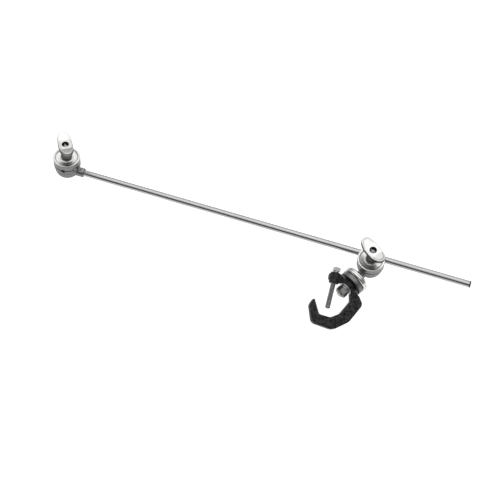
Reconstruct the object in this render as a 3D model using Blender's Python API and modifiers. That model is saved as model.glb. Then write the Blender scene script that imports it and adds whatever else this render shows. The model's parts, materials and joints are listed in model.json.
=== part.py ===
"""Grip arm: a steel tube with a fixed grip head, and a sliding grip head on a pipe clamp.

Each piece is its own object. The world origin is the axis of a pipe in the clamp, +X runs
along the arm to its open end, and +Z runs along the head bolts to their T-handles.
Sizes are in millimetres here and become metres through MM.
"""
import math

import bmesh
import bpy
from mathutils import Matrix, Vector

MM = 0.001
GAP = 0.3            # between pieces that touch
RUN = 0.3            # round a shaft in its hole
STEPS = 36           # sides of a turned piece
DISC_STEPS = 48      # sides of the swivel discs
RING_STEPS = 28      # sides of the washers

# Arm tube
TUBE_D = 15.9
TUBE_WALL = 2.0
TUBE_L = 1016.0
FREE_END = 241.0     # from the sliding head's bolt to the tube's open end
TUBE_STOP = 12.0     # from the fixed head's bolt to the tube's inner end

# Grip heads, each about its own bolt, with z = 0 between the jaws
HEAD_R = 33.0
BASE_R = 31.0
JAW_GAP = 3.0
FRONT_TOP = 18.0
DISH_DEPTH = 3.0
RIM_W = 4.5
HUB_R = 15.0
HUB_RISE = 1.0
REAR_T = 10.0
FRICTION_R = 24.0
FRICTION_T = 1.2
BASE_T = 22.0
BASE_SIDE_H = 7.0    # of the base's upright side, over its taper
BASE_TAPER_IN = 3.0
BASE_FOOT_IN = 7.5
BASE_FOOT_H = 5.0
BOLT_D = 12.7
BOLT_HEAD_R = 12.0
BOLT_HEAD_T = 4.6
BOLT_RECESS = 1.6
BOLT_NOSE_R = 2.4
BOLT_NOSE_L = 4.2
GROOVE_BIG_Y = 16.5  # offset of the groove for a 5/8 inch rod
GROOVE_SMALL_Y = -13.0
SMALL_ROD_D = 9.5
FIXED_JAW_TURN = -60.0
FIXED_HEAD_LEAN = -10.0
WASHER_T = 2.0
WASHER_R = 14.0
BEARING_T = 2.2
BEARING_R = 13.2

# T-handle
HANDLE_TOP = 65.0
BAR_L = 75.0
BAR_W = 35.0
BAR_T = 12.0
BAR_POWER = 2.4      # of the bar's oval outline: 2 is an ellipse
WING_RISE = 6.5      # of the bar's tips above its middle
BAR_EDGE = 2.2
HUB_BOTTOM_R = 12.5
HUB_TOP_R = 14.5
HUB_SHOULDER = 5.0   # from the bar's underside down to the hub's taper
HUB_TAPER_L = 7.0
WELL_R = 8.4         # the well at the top of the hub, round the bolt's end
WELL_DEPTH = 18.0
BOLT_SHORT = 6.0     # from the T-handle's face down to the bolt's end
STOP_PIN_D = 3.0
STOP_PIN_L = 15.0
STOP_PIN_DOWN = 2.6  # from the bolt's end to the pin's axis
SLIDING_HANDLE_TURN = -37.0
FIXED_HANDLE_TURN = -56.0

# Jaw spring
WIRE_D = 1.4
SPRING_L = 13.0
SPRING_TURNS = 5
SPRING_POINTS = 8    # a turn

# Sockets, with the stud's pin and the tube's set screw
PIN_D = 5.0
PIN_L = 19.0
PIN_OUT = 28.5       # from the sliding head's bolt to the stud's pin
SET_SCREW_D = 6.0
SET_SCREW_OUT = 38.2 # from the fixed head's bolt to the set screw
SET_SCREW_DOWN = 0.4 # from the socket's crown to the set screw's end
SET_SCREW_HEX = 3.0
SET_SCREW_HEX_DEPTH = 1.6
SOCKET_R = 11.5
SOCKET_OUT = 44.0
RECEIVER_R = 11.0
RECEIVER_OUT = 41.4
BOSS_ROOT = 25.0     # from the head bolt to where a socket starts inside the base

# Stud line, measured from the sliding head's bolt towards the clamp
STUD_D = 15.9
STUD_AZIMUTH = 62.0  # of the direction from clamp to head, from +X
STUD_IN = 9.0
DISC_R = 35.0
DISC_T = 7.8
DISC_START = 42.0
SPACER_R = 31.5
SPACER_T = 11.0
STUD_WASHER_R = 17.5
STUD_WASHER_T = 3.0
LOCK_WASHER_R = 13.0
LOCK_WASHER_T = 3.2
NUT_FLATS = 25.4
NUT_T = 14.0
STUD_END_PAST_NUT = 4.0

# Clamp frame, in its own plane: x runs away from the head along the stud, y across it
CLAMP_ROLL = 157.0   # turn of that plane about the stud
CLAMP_T = 20.0
CLAMP_EDGE = 3.6
SPINE_OUT = 72.7
SPINE_IN = 82.5
BOSS_R = 20.0
BOSS_LIP = 0.8       # of the stud's boss over the spot face, inside the C
SPOT_RUN = 0.8       # round the stud's washer in its spot face
SPOT_REACH = 16.0
PIPE_D = 48.3
SEAT = (162.0, -26.0)
SEAT_TOP = (178.5, -2.0)
SEAT_FOOT = (137.1, -35.05)
CLAMP_OUTLINE = (    # x, y and corner radius, from the bolt boss round the mouth and back outside
    (88.0, 55.5, 7.0),
    (102.0, 43.5, 4.0),
    (93.0, 24.0, 6.0),
    (SPINE_IN, 13.0, 4.0),
    (SPINE_IN, -13.0, 4.0),
    (97.5, -30.0, 8.0),
    (*SEAT_FOOT, 6.0),
    (*SEAT, 0.8),
    (*SEAT_TOP, 4.0),
    (161.5, 34.0, 1.5),
    (181.0, 30.5, 14.0),
    (205.5, -5.5, 14.0),
    (177.5, -52.0, 26.0),
    (134.0, -64.5, 34.0),
    (79.0, -56.5, 13.0),
    (SPINE_OUT, -36.0, 10.0),
    (SPINE_OUT, 36.0, 10.0),
)

# Pipe bolt
PIPE_BOLT_D = 12.7
PIPE_BOSS_AT = (77.8, 43.4)  # middle of the boss's outer face, in the clamp's plane
PIPE_BOLT_ANGLE = -33.7
PIPE_BOLT_L = 93.0
PIPE_BOLT_OUT = 3.8          # from the boss's outer face to the bolt's head
PIPE_BOLT_SQUARE = 15.0
PIPE_BOLT_HEAD_T = 9.0
PIPE_BOSS_R = 12.0
PIPE_BOSS_L = 26.0
PIPE_HOLE_L = 57.0           # through the boss and the frame behind it

# Worked out
FRONT_BOTTOM = JAW_GAP / 2
REAR_TOP = -JAW_GAP / 2
REAR_BOTTOM = REAR_TOP - REAR_T
FRICTION_TOP = REAR_BOTTOM - GAP
BASE_TOP = FRICTION_TOP - FRICTION_T - GAP
BASE_BOTTOM = BASE_TOP - BASE_T
STUD_Z = BASE_TOP - BASE_T / 2
TUBE_Z = STUD_Z - 1.5
FIXED_HEAD_X = FREE_END - TUBE_L - TUBE_STOP
DISH_Z = FRONT_TOP - DISH_DEPTH
WASHER_Z = DISH_Z + HUB_RISE + GAP
BEARING_Z = WASHER_Z + WASHER_T + GAP
HANDLE_Z = BEARING_Z + BEARING_T + GAP
BOLT_END = HANDLE_TOP - BOLT_SHORT
WELL_Z = HANDLE_TOP - WELL_DEPTH
SPRING_R = BOLT_D / 2 + RUN + WIRE_D / 2 + 0.2
SPRING_WELL_R = SPRING_R + WIRE_D / 2 + 0.5
SPRING_WELL_Z = SPRING_L / 2 + GAP
CLAMP_DISC_START = DISC_START + DISC_T + GAP
SPACER_START = CLAMP_DISC_START + DISC_T + GAP
BOSS_START = SPACER_START + SPACER_T + GAP
STUD_WASHER_START = SPINE_IN + GAP
LOCK_START = STUD_WASHER_START + STUD_WASHER_T + GAP
NUT_START = LOCK_START + LOCK_WASHER_T + GAP
STUD_END = NUT_START + NUT_T + STUD_END_PAST_NUT
ACROSS_X = Matrix.Rotation(math.radians(90), 4, "Y")   # turns +Z onto +X


def pipe_centre():
    """Axis of a pipe that touches both flats of the seat, in the clamp's plane."""
    seat = Vector(SEAT)
    up = (Vector(SEAT_TOP) - seat).normalized()
    foot = (Vector(SEAT_FOOT) - seat).normalized()
    half = up.angle(foot) / 2
    return seat + (up + foot).normalized() * (PIPE_D / 2) / math.sin(half)


def clear_scene():
    """Remove every object and empty collection."""
    for obj in list(bpy.data.objects):
        bpy.data.objects.remove(obj, do_unlink=True)
    for coll in list(bpy.data.collections):
        bpy.data.collections.remove(coll)


clear_scene()
PARTS = bpy.data.collections.new("grip_arm")
CUTTERS = bpy.data.collections.new("cutters")
bpy.context.scene.collection.children.link(PARTS)
bpy.context.scene.collection.children.link(CUTTERS)


def material(name, colour, roughness, metallic):
    """A Principled material of one colour."""
    mat = bpy.data.materials.new(name)
    mat.use_nodes = True
    shader = mat.node_tree.nodes["Principled BSDF"]
    shader.inputs["Base Color"].default_value = (*colour, 1.0)
    shader.inputs["Roughness"].default_value = roughness
    shader.inputs["Metallic"].default_value = metallic
    return mat


FINISH = {
    "tube_chrome": ((0.62, 0.62, 0.62), 0.22, 1.0),
    "head_alloy": ((0.82, 0.82, 0.81), 0.32, 1.0),
    "jaw_alloy": ((0.76, 0.76, 0.75), 0.36, 1.0),
    "handle_alloy": ((0.86, 0.86, 0.85), 0.30, 1.0),
    "disc_chrome": ((0.88, 0.88, 0.87), 0.24, 1.0),
    "grey_steel": ((0.42, 0.42, 0.42), 0.42, 1.0),
    "zinc_steel": ((0.58, 0.58, 0.57), 0.34, 1.0),
    "spring_steel": ((0.48, 0.48, 0.48), 0.30, 1.0),
    "bronze": ((0.55, 0.40, 0.22), 0.45, 1.0),
    "black_iron": ((0.025, 0.025, 0.026), 0.55, 0.0),
}


def empty(name, matrix, parent=None):
    """A named frame that pieces are parented to."""
    obj = bpy.data.objects.new(name, None)
    obj.empty_display_size = 0.02
    PARTS.objects.link(obj)
    obj.parent = parent
    obj.matrix_local = matrix
    return obj


def place(obj, frame, matrix, collection):
    """Put an object in a collection, at a matrix within a frame."""
    collection.objects.link(obj)
    obj.parent = frame
    obj.matrix_local = matrix
    return obj


def finish(obj, name):
    """Give a piece its own material, with smooth shading up to sharp edges."""
    colour, roughness, metallic = FINISH[name]
    obj.data.materials.clear()
    obj.data.materials.append(material(obj.name + "_" + name, colour, roughness, metallic))
    obj.data.shade_smooth()
    obj.data.set_sharp_from_angle(angle=math.radians(35))


def hide(obj):
    """Mark a cutter or a joined shape so that the build leaves it out."""
    obj.hide_render = True
    obj.display_type = "WIRE"
    return obj


def turned(name, profile, frame, matrix=Matrix(), look=None, steps=STEPS):
    """Screw a closed (radius, z) profile round z. It runs down its outer side."""
    mesh = bpy.data.meshes.new(name)
    points = [(r * MM, 0.0, z * MM) for r, z in profile]
    on_axis = profile[0][0] == 0.0
    links = [(i, i + 1) for i in range(len(points) - 1)]
    if not on_axis:
        links.append((len(points) - 1, 0))
    mesh.from_pydata(points, links, [])
    obj = place(bpy.data.objects.new(name, mesh), frame, matrix, PARTS if look else CUTTERS)
    screw = obj.modifiers.new("turn", "SCREW")
    screw.axis = "Z"
    screw.steps = steps
    screw.render_steps = steps
    screw.use_merge_vertices = True
    screw.merge_threshold = 0.00001
    screw.use_smooth_shade = True
    if look:
        finish(obj, look)
    else:
        hide(obj)
    return obj


def rod_cutter(name, radius, low, high, frame, matrix=Matrix(), steps=STEPS):
    """A plain cylinder from z = low to z = high, for cutting or joining."""
    profile = ((0.0, high), (radius, high), (radius, low), (0.0, low))
    return turned(name, profile, frame, matrix, steps=steps)


def boolean(obj, other, operation="DIFFERENCE"):
    """Cut or join one object with another."""
    mod = obj.modifiers.new(other.name, "BOOLEAN")
    mod.operation = operation
    mod.object = other
    mod.solver = "EXACT"


def inset(corners, distance):
    """Corners of an outline whose edges have all moved inwards, so its arcs keep their centres."""
    area = 0.0
    for i, (x, y, radius) in enumerate(corners):
        area += corners[i - 1][0] * y - x * corners[i - 1][1]
    inward = distance if area > 0 else -distance
    moved = []
    for i, (x, y, radius) in enumerate(corners):
        here = Vector((x, y))
        back = (Vector(corners[i - 1][:2]) - here).normalized()
        ahead = (Vector(corners[(i + 1) % len(corners)][:2]) - here).normalized()
        cross = ahead.x * back.y - ahead.y * back.x
        here += (back + ahead) * inward / cross
        bends_out = cross * area > 0
        moved.append((here.x, here.y, max(radius + (-distance if bends_out else distance), 0.4)))
    return moved


def rounded(corners, facets_per_turn=30):
    """Outline through (x, y, radius) corners, each rounded by an arc."""
    points = []
    count = len(corners)
    for i, (x, y, radius) in enumerate(corners):
        here = Vector((x, y))
        back = (Vector(corners[i - 1][:2]) - here).normalized()
        ahead = (Vector(corners[(i + 1) % count][:2]) - here).normalized()
        half = back.angle(ahead) / 2
        centre = here + (back + ahead).normalized() * radius / math.sin(half)
        start = here + back * radius / math.tan(half) - centre
        sweep = math.pi - 2 * half
        sign = -1.0 if back.x * ahead.y - back.y * ahead.x > 0 else 1.0
        steps = max(2, round(facets_per_turn * sweep / math.tau))
        for k in range(steps + 1):
            angle = sign * sweep * k / steps
            turn = Matrix.Rotation(angle, 2)
            points.append(centre + turn @ start)
    return points


def oval(length, width, power, facets=36):
    """Superellipse outline: |2x / length|^n + |2y / width|^n = 1, with n the power."""
    points = []
    for k in range(facets):
        angle = math.tau * k / facets
        x = math.copysign(abs(math.cos(angle)) ** (2 / power), math.cos(angle))
        y = math.copysign(abs(math.sin(angle)) ** (2 / power), math.sin(angle))
        points.append((x * length / 2, y * width / 2))
    return points


def plate(name, outline, low, high, frame, matrix=Matrix(), look=None, bevel=0.0):
    """A flat outline filled from z = low to z = high, made a mesh so that it can be cut."""
    curve = bpy.data.curves.new(name, "CURVE")
    curve.dimensions = "2D"
    curve.fill_mode = "BOTH"
    curve.extrude = (high - low) / 2 * MM
    spline = curve.splines.new("POLY")
    spline.points.add(len(outline) - 1)
    for point, (x, y) in zip(spline.points, outline):
        point.co = (x * MM, y * MM, 0.0, 1.0)
    spline.use_cyclic_u = True
    source = bpy.data.objects.new(name + "_outline", curve)
    CUTTERS.objects.link(source)
    depsgraph = bpy.context.evaluated_depsgraph_get()
    mesh = bpy.data.meshes.new_from_object(source.evaluated_get(depsgraph))
    bpy.data.objects.remove(source, do_unlink=True)
    bm = bmesh.new()
    bm.from_mesh(mesh)
    bmesh.ops.remove_doubles(bm, verts=bm.verts, dist=0.000001)
    bmesh.ops.dissolve_limit(bm, angle_limit=0.001, verts=bm.verts, edges=bm.edges)
    bmesh.ops.translate(bm, verts=bm.verts, vec=(0.0, 0.0, (low + high) / 2 * MM))
    bmesh.ops.recalc_face_normals(bm, faces=bm.faces)
    bm.to_mesh(mesh)
    bm.free()
    obj = place(bpy.data.objects.new(name, mesh), frame, matrix, PARTS if look else CUTTERS)
    if bevel:
        mod = obj.modifiers.new("edges", "BEVEL")
        mod.width = bevel * MM
        mod.segments = 1
        mod.limit_method = "ANGLE"
        mod.angle_limit = math.radians(50)
    if look:
        finish(obj, look)
    else:
        hide(obj)
    return obj


def chamfered_plate(name, corners, half, edge, frame, look):
    """An outline carried from z = -half to z = half, its edges moved in by a chamfer at both faces."""
    narrow = rounded(inset(corners, edge))
    wide = rounded(corners)
    rows = ((narrow, -half), (wide, edge - half), (wide, half - edge), (narrow, half))
    points = [(x * MM, y * MM, z * MM) for outline, z in rows for x, y in outline]
    count = len(wide)
    faces = []
    for row in range(len(rows) - 1):
        for i in range(count):
            j = (i + 1) % count
            low = row * count
            high = low + count
            faces.append((low + i, low + j, high + j, high + i))
    faces.append(tuple(range(count)))
    faces.append(tuple(range(3 * count, 4 * count)))
    mesh = bpy.data.meshes.new(name)
    mesh.from_pydata(points, [], faces)
    bm = bmesh.new()
    bm.from_mesh(mesh)
    bmesh.ops.recalc_face_normals(bm, faces=bm.faces)
    bm.to_mesh(mesh)
    bm.free()
    obj = place(bpy.data.objects.new(name, mesh), frame, Matrix(), PARTS)
    finish(obj, look)
    return obj


def bar_along_x(name, section, length, frame, matrix=Matrix()):
    """A cutter with a (y, z) section, centred on x = 0 and as long as asked."""
    stand = matrix @ Matrix.Rotation(math.radians(90), 4, "Z") @ Matrix.Rotation(math.radians(90), 4, "X")
    return plate(name, section, -length / 2, length / 2, frame, stand)


def ring(name, inner, outer, low, high, frame, matrix, look, chamfer=0.3, steps=RING_STEPS):
    """A flat ring with small chamfers on its outer edges."""
    profile = (
        (outer - chamfer, high),
        (outer, high - chamfer),
        (outer, low + chamfer),
        (outer - chamfer, low),
        (inner, low),
        (inner, high),
    )
    return turned(name, profile, frame, matrix, look, steps)


def pin(name, diameter, length, frame, matrix, look):
    """A dowel with chamfered ends, centred on its matrix."""
    radius = diameter / 2
    end = length / 2
    chamfer = diameter * 0.12
    profile = (
        (0.0, end),
        (radius - chamfer, end),
        (radius, end - chamfer),
        (radius, chamfer - end),
        (radius - chamfer, -end),
        (0.0, -end),
    )
    return turned(name, profile, frame, matrix, look, steps=24)


def groove_section(rod_diameter, offset, side):
    """Half a hexagonal channel round a rod of this size, opening past the split line."""
    reach = rod_diameter / 2 + RUN
    corner = reach / math.cos(math.radians(30))
    points = ((-corner, 0.0), (-corner / 2, reach), (corner / 2, reach), (corner, 0.0))
    below = ((corner, -1.0), (-corner, -1.0))
    return [(offset + y, side * z) for y, z in points + below]


def cut_grooves(jaw, frame, turn, side):
    """Both rod grooves across a jaw, on its inner face."""
    for label, diameter, offset in (("big", TUBE_D, GROOVE_BIG_Y), ("small", SMALL_ROD_D, GROOVE_SMALL_Y)):
        section = groove_section(diameter, offset, side)
        cutter = bar_along_x(jaw.name + "_groove_" + label, section, 3 * HEAD_R, frame, turn)
        boolean(jaw, cutter)


def rear_jaw(prefix, frame, turn):
    """Plain disc jaw with grooves and a well for the spring."""
    bore = BOLT_D / 2 + RUN
    profile = (
        (HEAD_R - 1.0, REAR_TOP),
        (HEAD_R, REAR_TOP - 1.0),
        (HEAD_R, REAR_BOTTOM + 2.5),
        (HEAD_R - 2.5, REAR_BOTTOM),
        (bore, REAR_BOTTOM),
        (bore, -SPRING_WELL_Z),
        (SPRING_WELL_R, -SPRING_WELL_Z),
        (SPRING_WELL_R, REAR_TOP),
    )
    jaw = turned(prefix + "_rear_jaw", profile, frame, Matrix(), "jaw_alloy")
    cut_grooves(jaw, frame, turn, -1.0)
    return jaw


def front_jaw(prefix, frame, turn):
    """Disc jaw with a raised rim, a dished face and a low hub."""
    bore = BOLT_D / 2 + RUN
    rim = HEAD_R - RIM_W
    profile = (
        (rim, FRONT_TOP),
        (HEAD_R - 1.2, FRONT_TOP),
        (HEAD_R, FRONT_TOP - 1.2),
        (HEAD_R, FRONT_BOTTOM + 1.0),
        (HEAD_R - 1.0, FRONT_BOTTOM),
        (SPRING_WELL_R, FRONT_BOTTOM),
        (SPRING_WELL_R, SPRING_WELL_Z),
        (bore, SPRING_WELL_Z),
        (bore, DISH_Z + HUB_RISE),
        (HUB_R, DISH_Z + HUB_RISE),
        (HUB_R + HUB_RISE, DISH_Z),
        (rim - DISH_DEPTH * 0.6, DISH_Z),
    )
    jaw = turned(prefix + "_front_jaw", profile, frame, Matrix(), "jaw_alloy")
    cut_grooves(jaw, frame, turn, 1.0)
    return jaw


def jaw_spring(prefix, frame):
    """One unbroken coil round the bolt, between the wells of the two jaws."""
    rise = SPRING_L - WIRE_D
    count = SPRING_TURNS * SPRING_POINTS + 1
    points = []
    for i in range(count):
        angle = math.tau * i / SPRING_POINTS
        z = -rise / 2 + rise * i / (count - 1)
        points.append((SPRING_R * math.cos(angle), SPRING_R * math.sin(angle), z))
    curve = bpy.data.curves.new(prefix + "_jaw_spring", "CURVE")
    curve.dimensions = "3D"
    curve.bevel_depth = WIRE_D / 2 * MM
    curve.bevel_resolution = 1
    curve.use_fill_caps = True
    spline = curve.splines.new("POLY")
    spline.points.add(count - 1)
    for point, (x, y, z) in zip(spline.points, points):
        point.co = (x * MM, y * MM, z * MM, 1.0)
    obj = place(bpy.data.objects.new(prefix + "_jaw_spring", curve), frame, Matrix(), PARTS)
    colour, roughness, metallic = FINISH["spring_steel"]
    curve.materials.append(material(prefix + "_spring_steel", colour, roughness, metallic))
    print(prefix, "spring, gap between turns in mm:", round(rise / SPRING_TURNS - WIRE_D, 2))
    return obj


def head_bolt(prefix, frame, pin_turn):
    """Round-headed bolt that every piece of a head is stacked on, with its stop pin."""
    radius = BOLT_D / 2
    seat = BASE_BOTTOM + BOLT_RECESS - GAP
    profile = (
        (0.0, BOLT_END),
        (BOLT_NOSE_R, BOLT_END),
        (radius, BOLT_END - BOLT_NOSE_L),
        (radius, seat),
        (BOLT_HEAD_R, seat),
        (BOLT_HEAD_R, seat - 1.4),
        (BOLT_HEAD_R * 0.8, seat - BOLT_HEAD_T * 0.75),
        (BOLT_HEAD_R * 0.45, seat - BOLT_HEAD_T),
        (0.0, seat - BOLT_HEAD_T),
    )
    bolt = turned(prefix + "_head_bolt", profile, frame, Matrix(), "zinc_steel")
    lifted = Matrix.Translation((0.0, 0.0, (BOLT_END - STOP_PIN_DOWN) * MM))
    across = lifted @ Matrix.Rotation(math.radians(pin_turn), 4, "Z") @ ACROSS_X
    hole = rod_cutter(prefix + "_stop_pin_hole", STOP_PIN_D / 2 + 0.2, -BOLT_D, BOLT_D, frame, across, 24)
    boolean(bolt, hole)
    pin(prefix + "_stop_pin", STOP_PIN_D, STOP_PIN_L, frame, across, "grey_steel")
    return bolt


def t_handle(prefix, frame, turn):
    """Hub with a threaded bore, and an oval bar across its top whose wings rise."""
    hub_profile = (
        (0.0, HANDLE_TOP - 1.0),
        (HUB_TOP_R, HANDLE_TOP - 1.0),
        (HUB_TOP_R, HANDLE_TOP - BAR_T - HUB_SHOULDER),
        (HUB_BOTTOM_R, HANDLE_TOP - BAR_T - HUB_SHOULDER - HUB_TAPER_L),
        (HUB_BOTTOM_R, HANDLE_Z + 1.0),
        (HUB_BOTTOM_R - 1.0, HANDLE_Z),
        (0.0, HANDLE_Z),
    )
    hub = turned(prefix + "_hub", hub_profile, frame)
    outline = oval(BAR_L, BAR_W, BAR_POWER)
    spin = Matrix.Rotation(math.radians(turn), 4, "Z")
    tip = BAR_L / 2 + 1.0
    tip_top = HANDLE_TOP + WING_RISE
    bar_bottom = HANDLE_TOP - BAR_T
    handle = plate(prefix + "_t_handle", outline, bar_bottom, tip_top, frame, spin, "handle_alloy")
    section = (
        (-tip, tip_top),
        (-tip, tip_top - BAR_T),
        (-HUB_TOP_R, bar_bottom),
        (HUB_TOP_R, bar_bottom),
        (tip, tip_top - BAR_T),
        (tip, tip_top),
        (HUB_TOP_R, HANDLE_TOP),
        (-HUB_TOP_R, HANDLE_TOP),
    )
    upright = spin @ Matrix.Rotation(math.radians(90), 4, "X")
    wings = plate(prefix + "_wings", section, -BAR_W, BAR_W, frame, upright)
    boolean(handle, wings, "INTERSECT")
    edges = handle.modifiers.new("edges", "BEVEL")
    edges.width = BAR_EDGE * MM
    edges.segments = 1
    edges.limit_method = "ANGLE"
    edges.angle_limit = math.radians(50)
    boolean(handle, hub, "UNION")
    bore = rod_cutter(prefix + "_handle_bore", BOLT_D / 2 + RUN, HANDLE_Z - 1.0, HANDLE_TOP, frame)
    well = rod_cutter(prefix + "_handle_well", WELL_R, WELL_Z, HANDLE_TOP + 1.0, frame)
    boolean(handle, bore)
    boolean(handle, well)
    return handle


def grip_stack(prefix, frame, jaw_turn, handle_turn):
    """Everything that both heads share, from the friction disc up to the T-handle."""
    bore = BOLT_D / 2 + RUN
    turn = Matrix.Rotation(math.radians(jaw_turn), 4, "Z")
    low = FRICTION_TOP - FRICTION_T
    ring(prefix + "_friction_disc", bore, FRICTION_R, low, FRICTION_TOP, frame, Matrix(), "bronze")
    rear_jaw(prefix, frame, turn)
    front_jaw(prefix, frame, turn)
    jaw_spring(prefix, frame)
    high = WASHER_Z + WASHER_T
    ring(prefix + "_thrust_washer", bore, WASHER_R, WASHER_Z, high, frame, Matrix(), "zinc_steel")
    high = BEARING_Z + BEARING_T
    ring(prefix + "_thrust_bearing", bore, BEARING_R, BEARING_Z, high, frame, Matrix(), "grey_steel", 0.5)
    head_bolt(prefix, frame, handle_turn)
    t_handle(prefix, frame, handle_turn)


def head_base(name, frame, boss_r, boss_out, line, shaft_r, stop):
    """Cast disc with a round socket that sticks out of its side along a line's +z."""
    rim = BASE_R
    bore = BOLT_D / 2 + RUN
    seat_r = BOLT_HEAD_R + 0.5
    profile = (
        (rim - 1.0, BASE_TOP),
        (rim, BASE_TOP - 1.0),
        (rim, BASE_TOP - BASE_SIDE_H),
        (rim - BASE_TAPER_IN, BASE_BOTTOM + BASE_FOOT_H),
        (rim - BASE_FOOT_IN, BASE_BOTTOM),
        (seat_r, BASE_BOTTOM),
        (seat_r, BASE_BOTTOM + BOLT_RECESS),
        (bore, BASE_BOTTOM + BOLT_RECESS),
        (bore, BASE_TOP),
    )
    base = turned(name, profile, frame, Matrix(), "head_alloy")
    boss_profile = (
        (0.0, boss_out),
        (boss_r - 1.2, boss_out),
        (boss_r, boss_out - 1.2),
        (boss_r, BOSS_ROOT),
        (0.0, BOSS_ROOT),
    )
    boss = turned(name + "_boss", boss_profile, frame, line)
    boolean(base, boss, "UNION")
    part_turn = Matrix.Rotation(math.pi / STEPS, 4, "Z")
    low = stop - RUN
    boolean(base, rod_cutter(name + "_socket", shaft_r + RUN, low, boss_out + 1.0, frame, line @ part_turn))
    return base


def fixed_head(frame):
    """The head at the arm's end, with the tube in its base's socket."""
    line = Matrix.Translation((0.0, 0.0, TUBE_Z * MM)) @ ACROSS_X
    base = head_base("fixed_base", frame, SOCKET_R, SOCKET_OUT, line, TUBE_D / 2, TUBE_STOP)
    above = Matrix.Translation((SET_SCREW_OUT * MM, 0.0, TUBE_Z * MM))
    hole = rod_cutter("set_screw_hole", SET_SCREW_D / 2 + RUN, 0.0, SOCKET_R + 1.0, frame, above, 24)
    boolean(base, hole)
    set_screw(frame, above)
    grip_stack("fixed", frame, FIXED_JAW_TURN, FIXED_HANDLE_TURN)


def set_screw(frame, matrix):
    """Headless screw through the socket's wall, with its tip against the tube."""
    radius = SET_SCREW_D / 2
    top = SOCKET_R - SET_SCREW_DOWN
    tip = TUBE_D / 2 + GAP
    profile = (
        (0.0, top),
        (radius - 0.4, top),
        (radius, top - 0.4),
        (radius, tip + 0.5),
        (radius - 0.5, tip),
        (0.0, tip),
    )
    screw = turned("socket_set_screw", profile, frame, matrix, "grey_steel", 24)
    corner = SET_SCREW_HEX / 2 / math.cos(math.radians(30))
    low = top - SET_SCREW_HEX_DEPTH
    boolean(screw, rod_cutter("set_screw_hex", corner, low, top + 1.0, frame, matrix, 6))


def sliding_head(frame, stud_line):
    """The head on the clamp, with the arm in its big grooves."""
    stud_way = Matrix.Translation((0.0, 0.0, STUD_Z * MM)) @ stud_line
    line = stud_way @ ACROSS_X
    base = head_base("sliding_base", frame, RECEIVER_R, RECEIVER_OUT, line, STUD_D / 2, STUD_IN)
    across = stud_way @ Matrix.Translation((PIN_OUT * MM, 0.0, 0.0))
    pin("stud_pin", PIN_D, PIN_L, frame, across, "grey_steel")
    boolean(base, rod_cutter("stud_pin_hole", PIN_D / 2 + RUN, -30.0, 30.0, frame, across, 24))
    grip_stack("sliding", frame, 0.0, SLIDING_HANDLE_TURN)


def arm_tube(frame):
    """The long tube, open at its free end."""
    outer = TUBE_D / 2
    inner = outer - TUBE_WALL
    start = FREE_END - TUBE_L
    profile = (
        (outer - 0.6, FREE_END),
        (outer, FREE_END - 0.6),
        (outer, start),
        (inner, start),
        (inner, FREE_END),
    )
    turned("arm_tube", profile, frame, ACROSS_X, "tube_chrome", 32)


def swivel_disc(name, start, frame, toward_clamp):
    """Dished disc of the swivel, flat on the side where it meets its twin."""
    bore = STUD_D / 2 + RUN
    flat, back = (start, start + DISC_T) if toward_clamp else (start + DISC_T, start)
    step = 1.0 if toward_clamp else -1.0
    profile = [
        (bore, flat),
        (DISC_R - 0.8, flat),
        (DISC_R, flat + step * 0.8),
        (DISC_R, back - step * 3.4),
        (DISC_R - 2.4, back - step * 1.2),
        (DISC_R - 7.0, back),
        (bore, back),
    ]
    if flat < back:
        profile.reverse()
    return turned(name, profile, frame, ACROSS_X, "disc_chrome", DISC_STEPS)


def stud_line_pieces(frame):
    """The stud, the swivel discs, the spacer, the washers and the nut."""
    bore = STUD_D / 2 + RUN
    radius = STUD_D / 2
    profile = (
        (0.0, STUD_END),
        (radius - 1.2, STUD_END),
        (radius, STUD_END - 1.2),
        (radius, STUD_IN + 0.6),
        (radius - 0.6, STUD_IN),
        (0.0, STUD_IN),
    )
    stud = turned("mounting_stud", profile, frame, ACROSS_X, "zinc_steel")
    upright = Matrix.Rotation(math.radians(-CLAMP_ROLL), 4, "X")
    across = upright @ Matrix.Translation((PIN_OUT * MM, 0.0, 0.0))
    boolean(stud, rod_cutter("stud_cross_hole", PIN_D / 2 + RUN, -30.0, 30.0, frame, across, 24))
    swivel_disc("swivel_disc", DISC_START, frame, False)
    swivel_disc("clamp_disc", CLAMP_DISC_START, frame, True)
    high = SPACER_START + SPACER_T
    ring("clamp_spacer", bore, SPACER_R, SPACER_START, high, frame, ACROSS_X, "grey_steel", 0.8, DISC_STEPS)
    high = STUD_WASHER_START + STUD_WASHER_T
    ring("stud_washer", bore, STUD_WASHER_R, STUD_WASHER_START, high, frame, ACROSS_X, "zinc_steel", 0.4)
    high = LOCK_START + LOCK_WASHER_T
    ring("stud_lock_washer", bore, LOCK_WASHER_R, LOCK_START, high, frame, ACROSS_X, "spring_steel", 0.2)
    hex_nut(frame, bore)


def hex_nut(frame, bore):
    """Six-sided nut with its corners turned off at both faces."""
    corner = NUT_FLATS / 2 / math.cos(math.radians(30))
    outline = [
        (corner * math.cos(math.radians(60 * k)), corner * math.sin(math.radians(60 * k))) for k in range(6)
    ]
    nut = plate("stud_nut", outline, NUT_START, NUT_START + NUT_T, frame, ACROSS_X, "zinc_steel")
    chamfer = 1.8
    flat = NUT_FLATS / 2 - 0.4
    profile = (
        (0.0, NUT_START + NUT_T),
        (flat, NUT_START + NUT_T),
        (corner + 0.4, NUT_START + NUT_T - chamfer),
        (corner + 0.4, NUT_START + chamfer),
        (flat, NUT_START),
        (0.0, NUT_START),
    )
    boolean(nut, turned("nut_crown", profile, frame, ACROSS_X), "INTERSECT")
    boolean(nut, rod_cutter("nut_bore", bore, NUT_START - 1.0, NUT_START + NUT_T + 1.0, frame, ACROSS_X))


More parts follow.
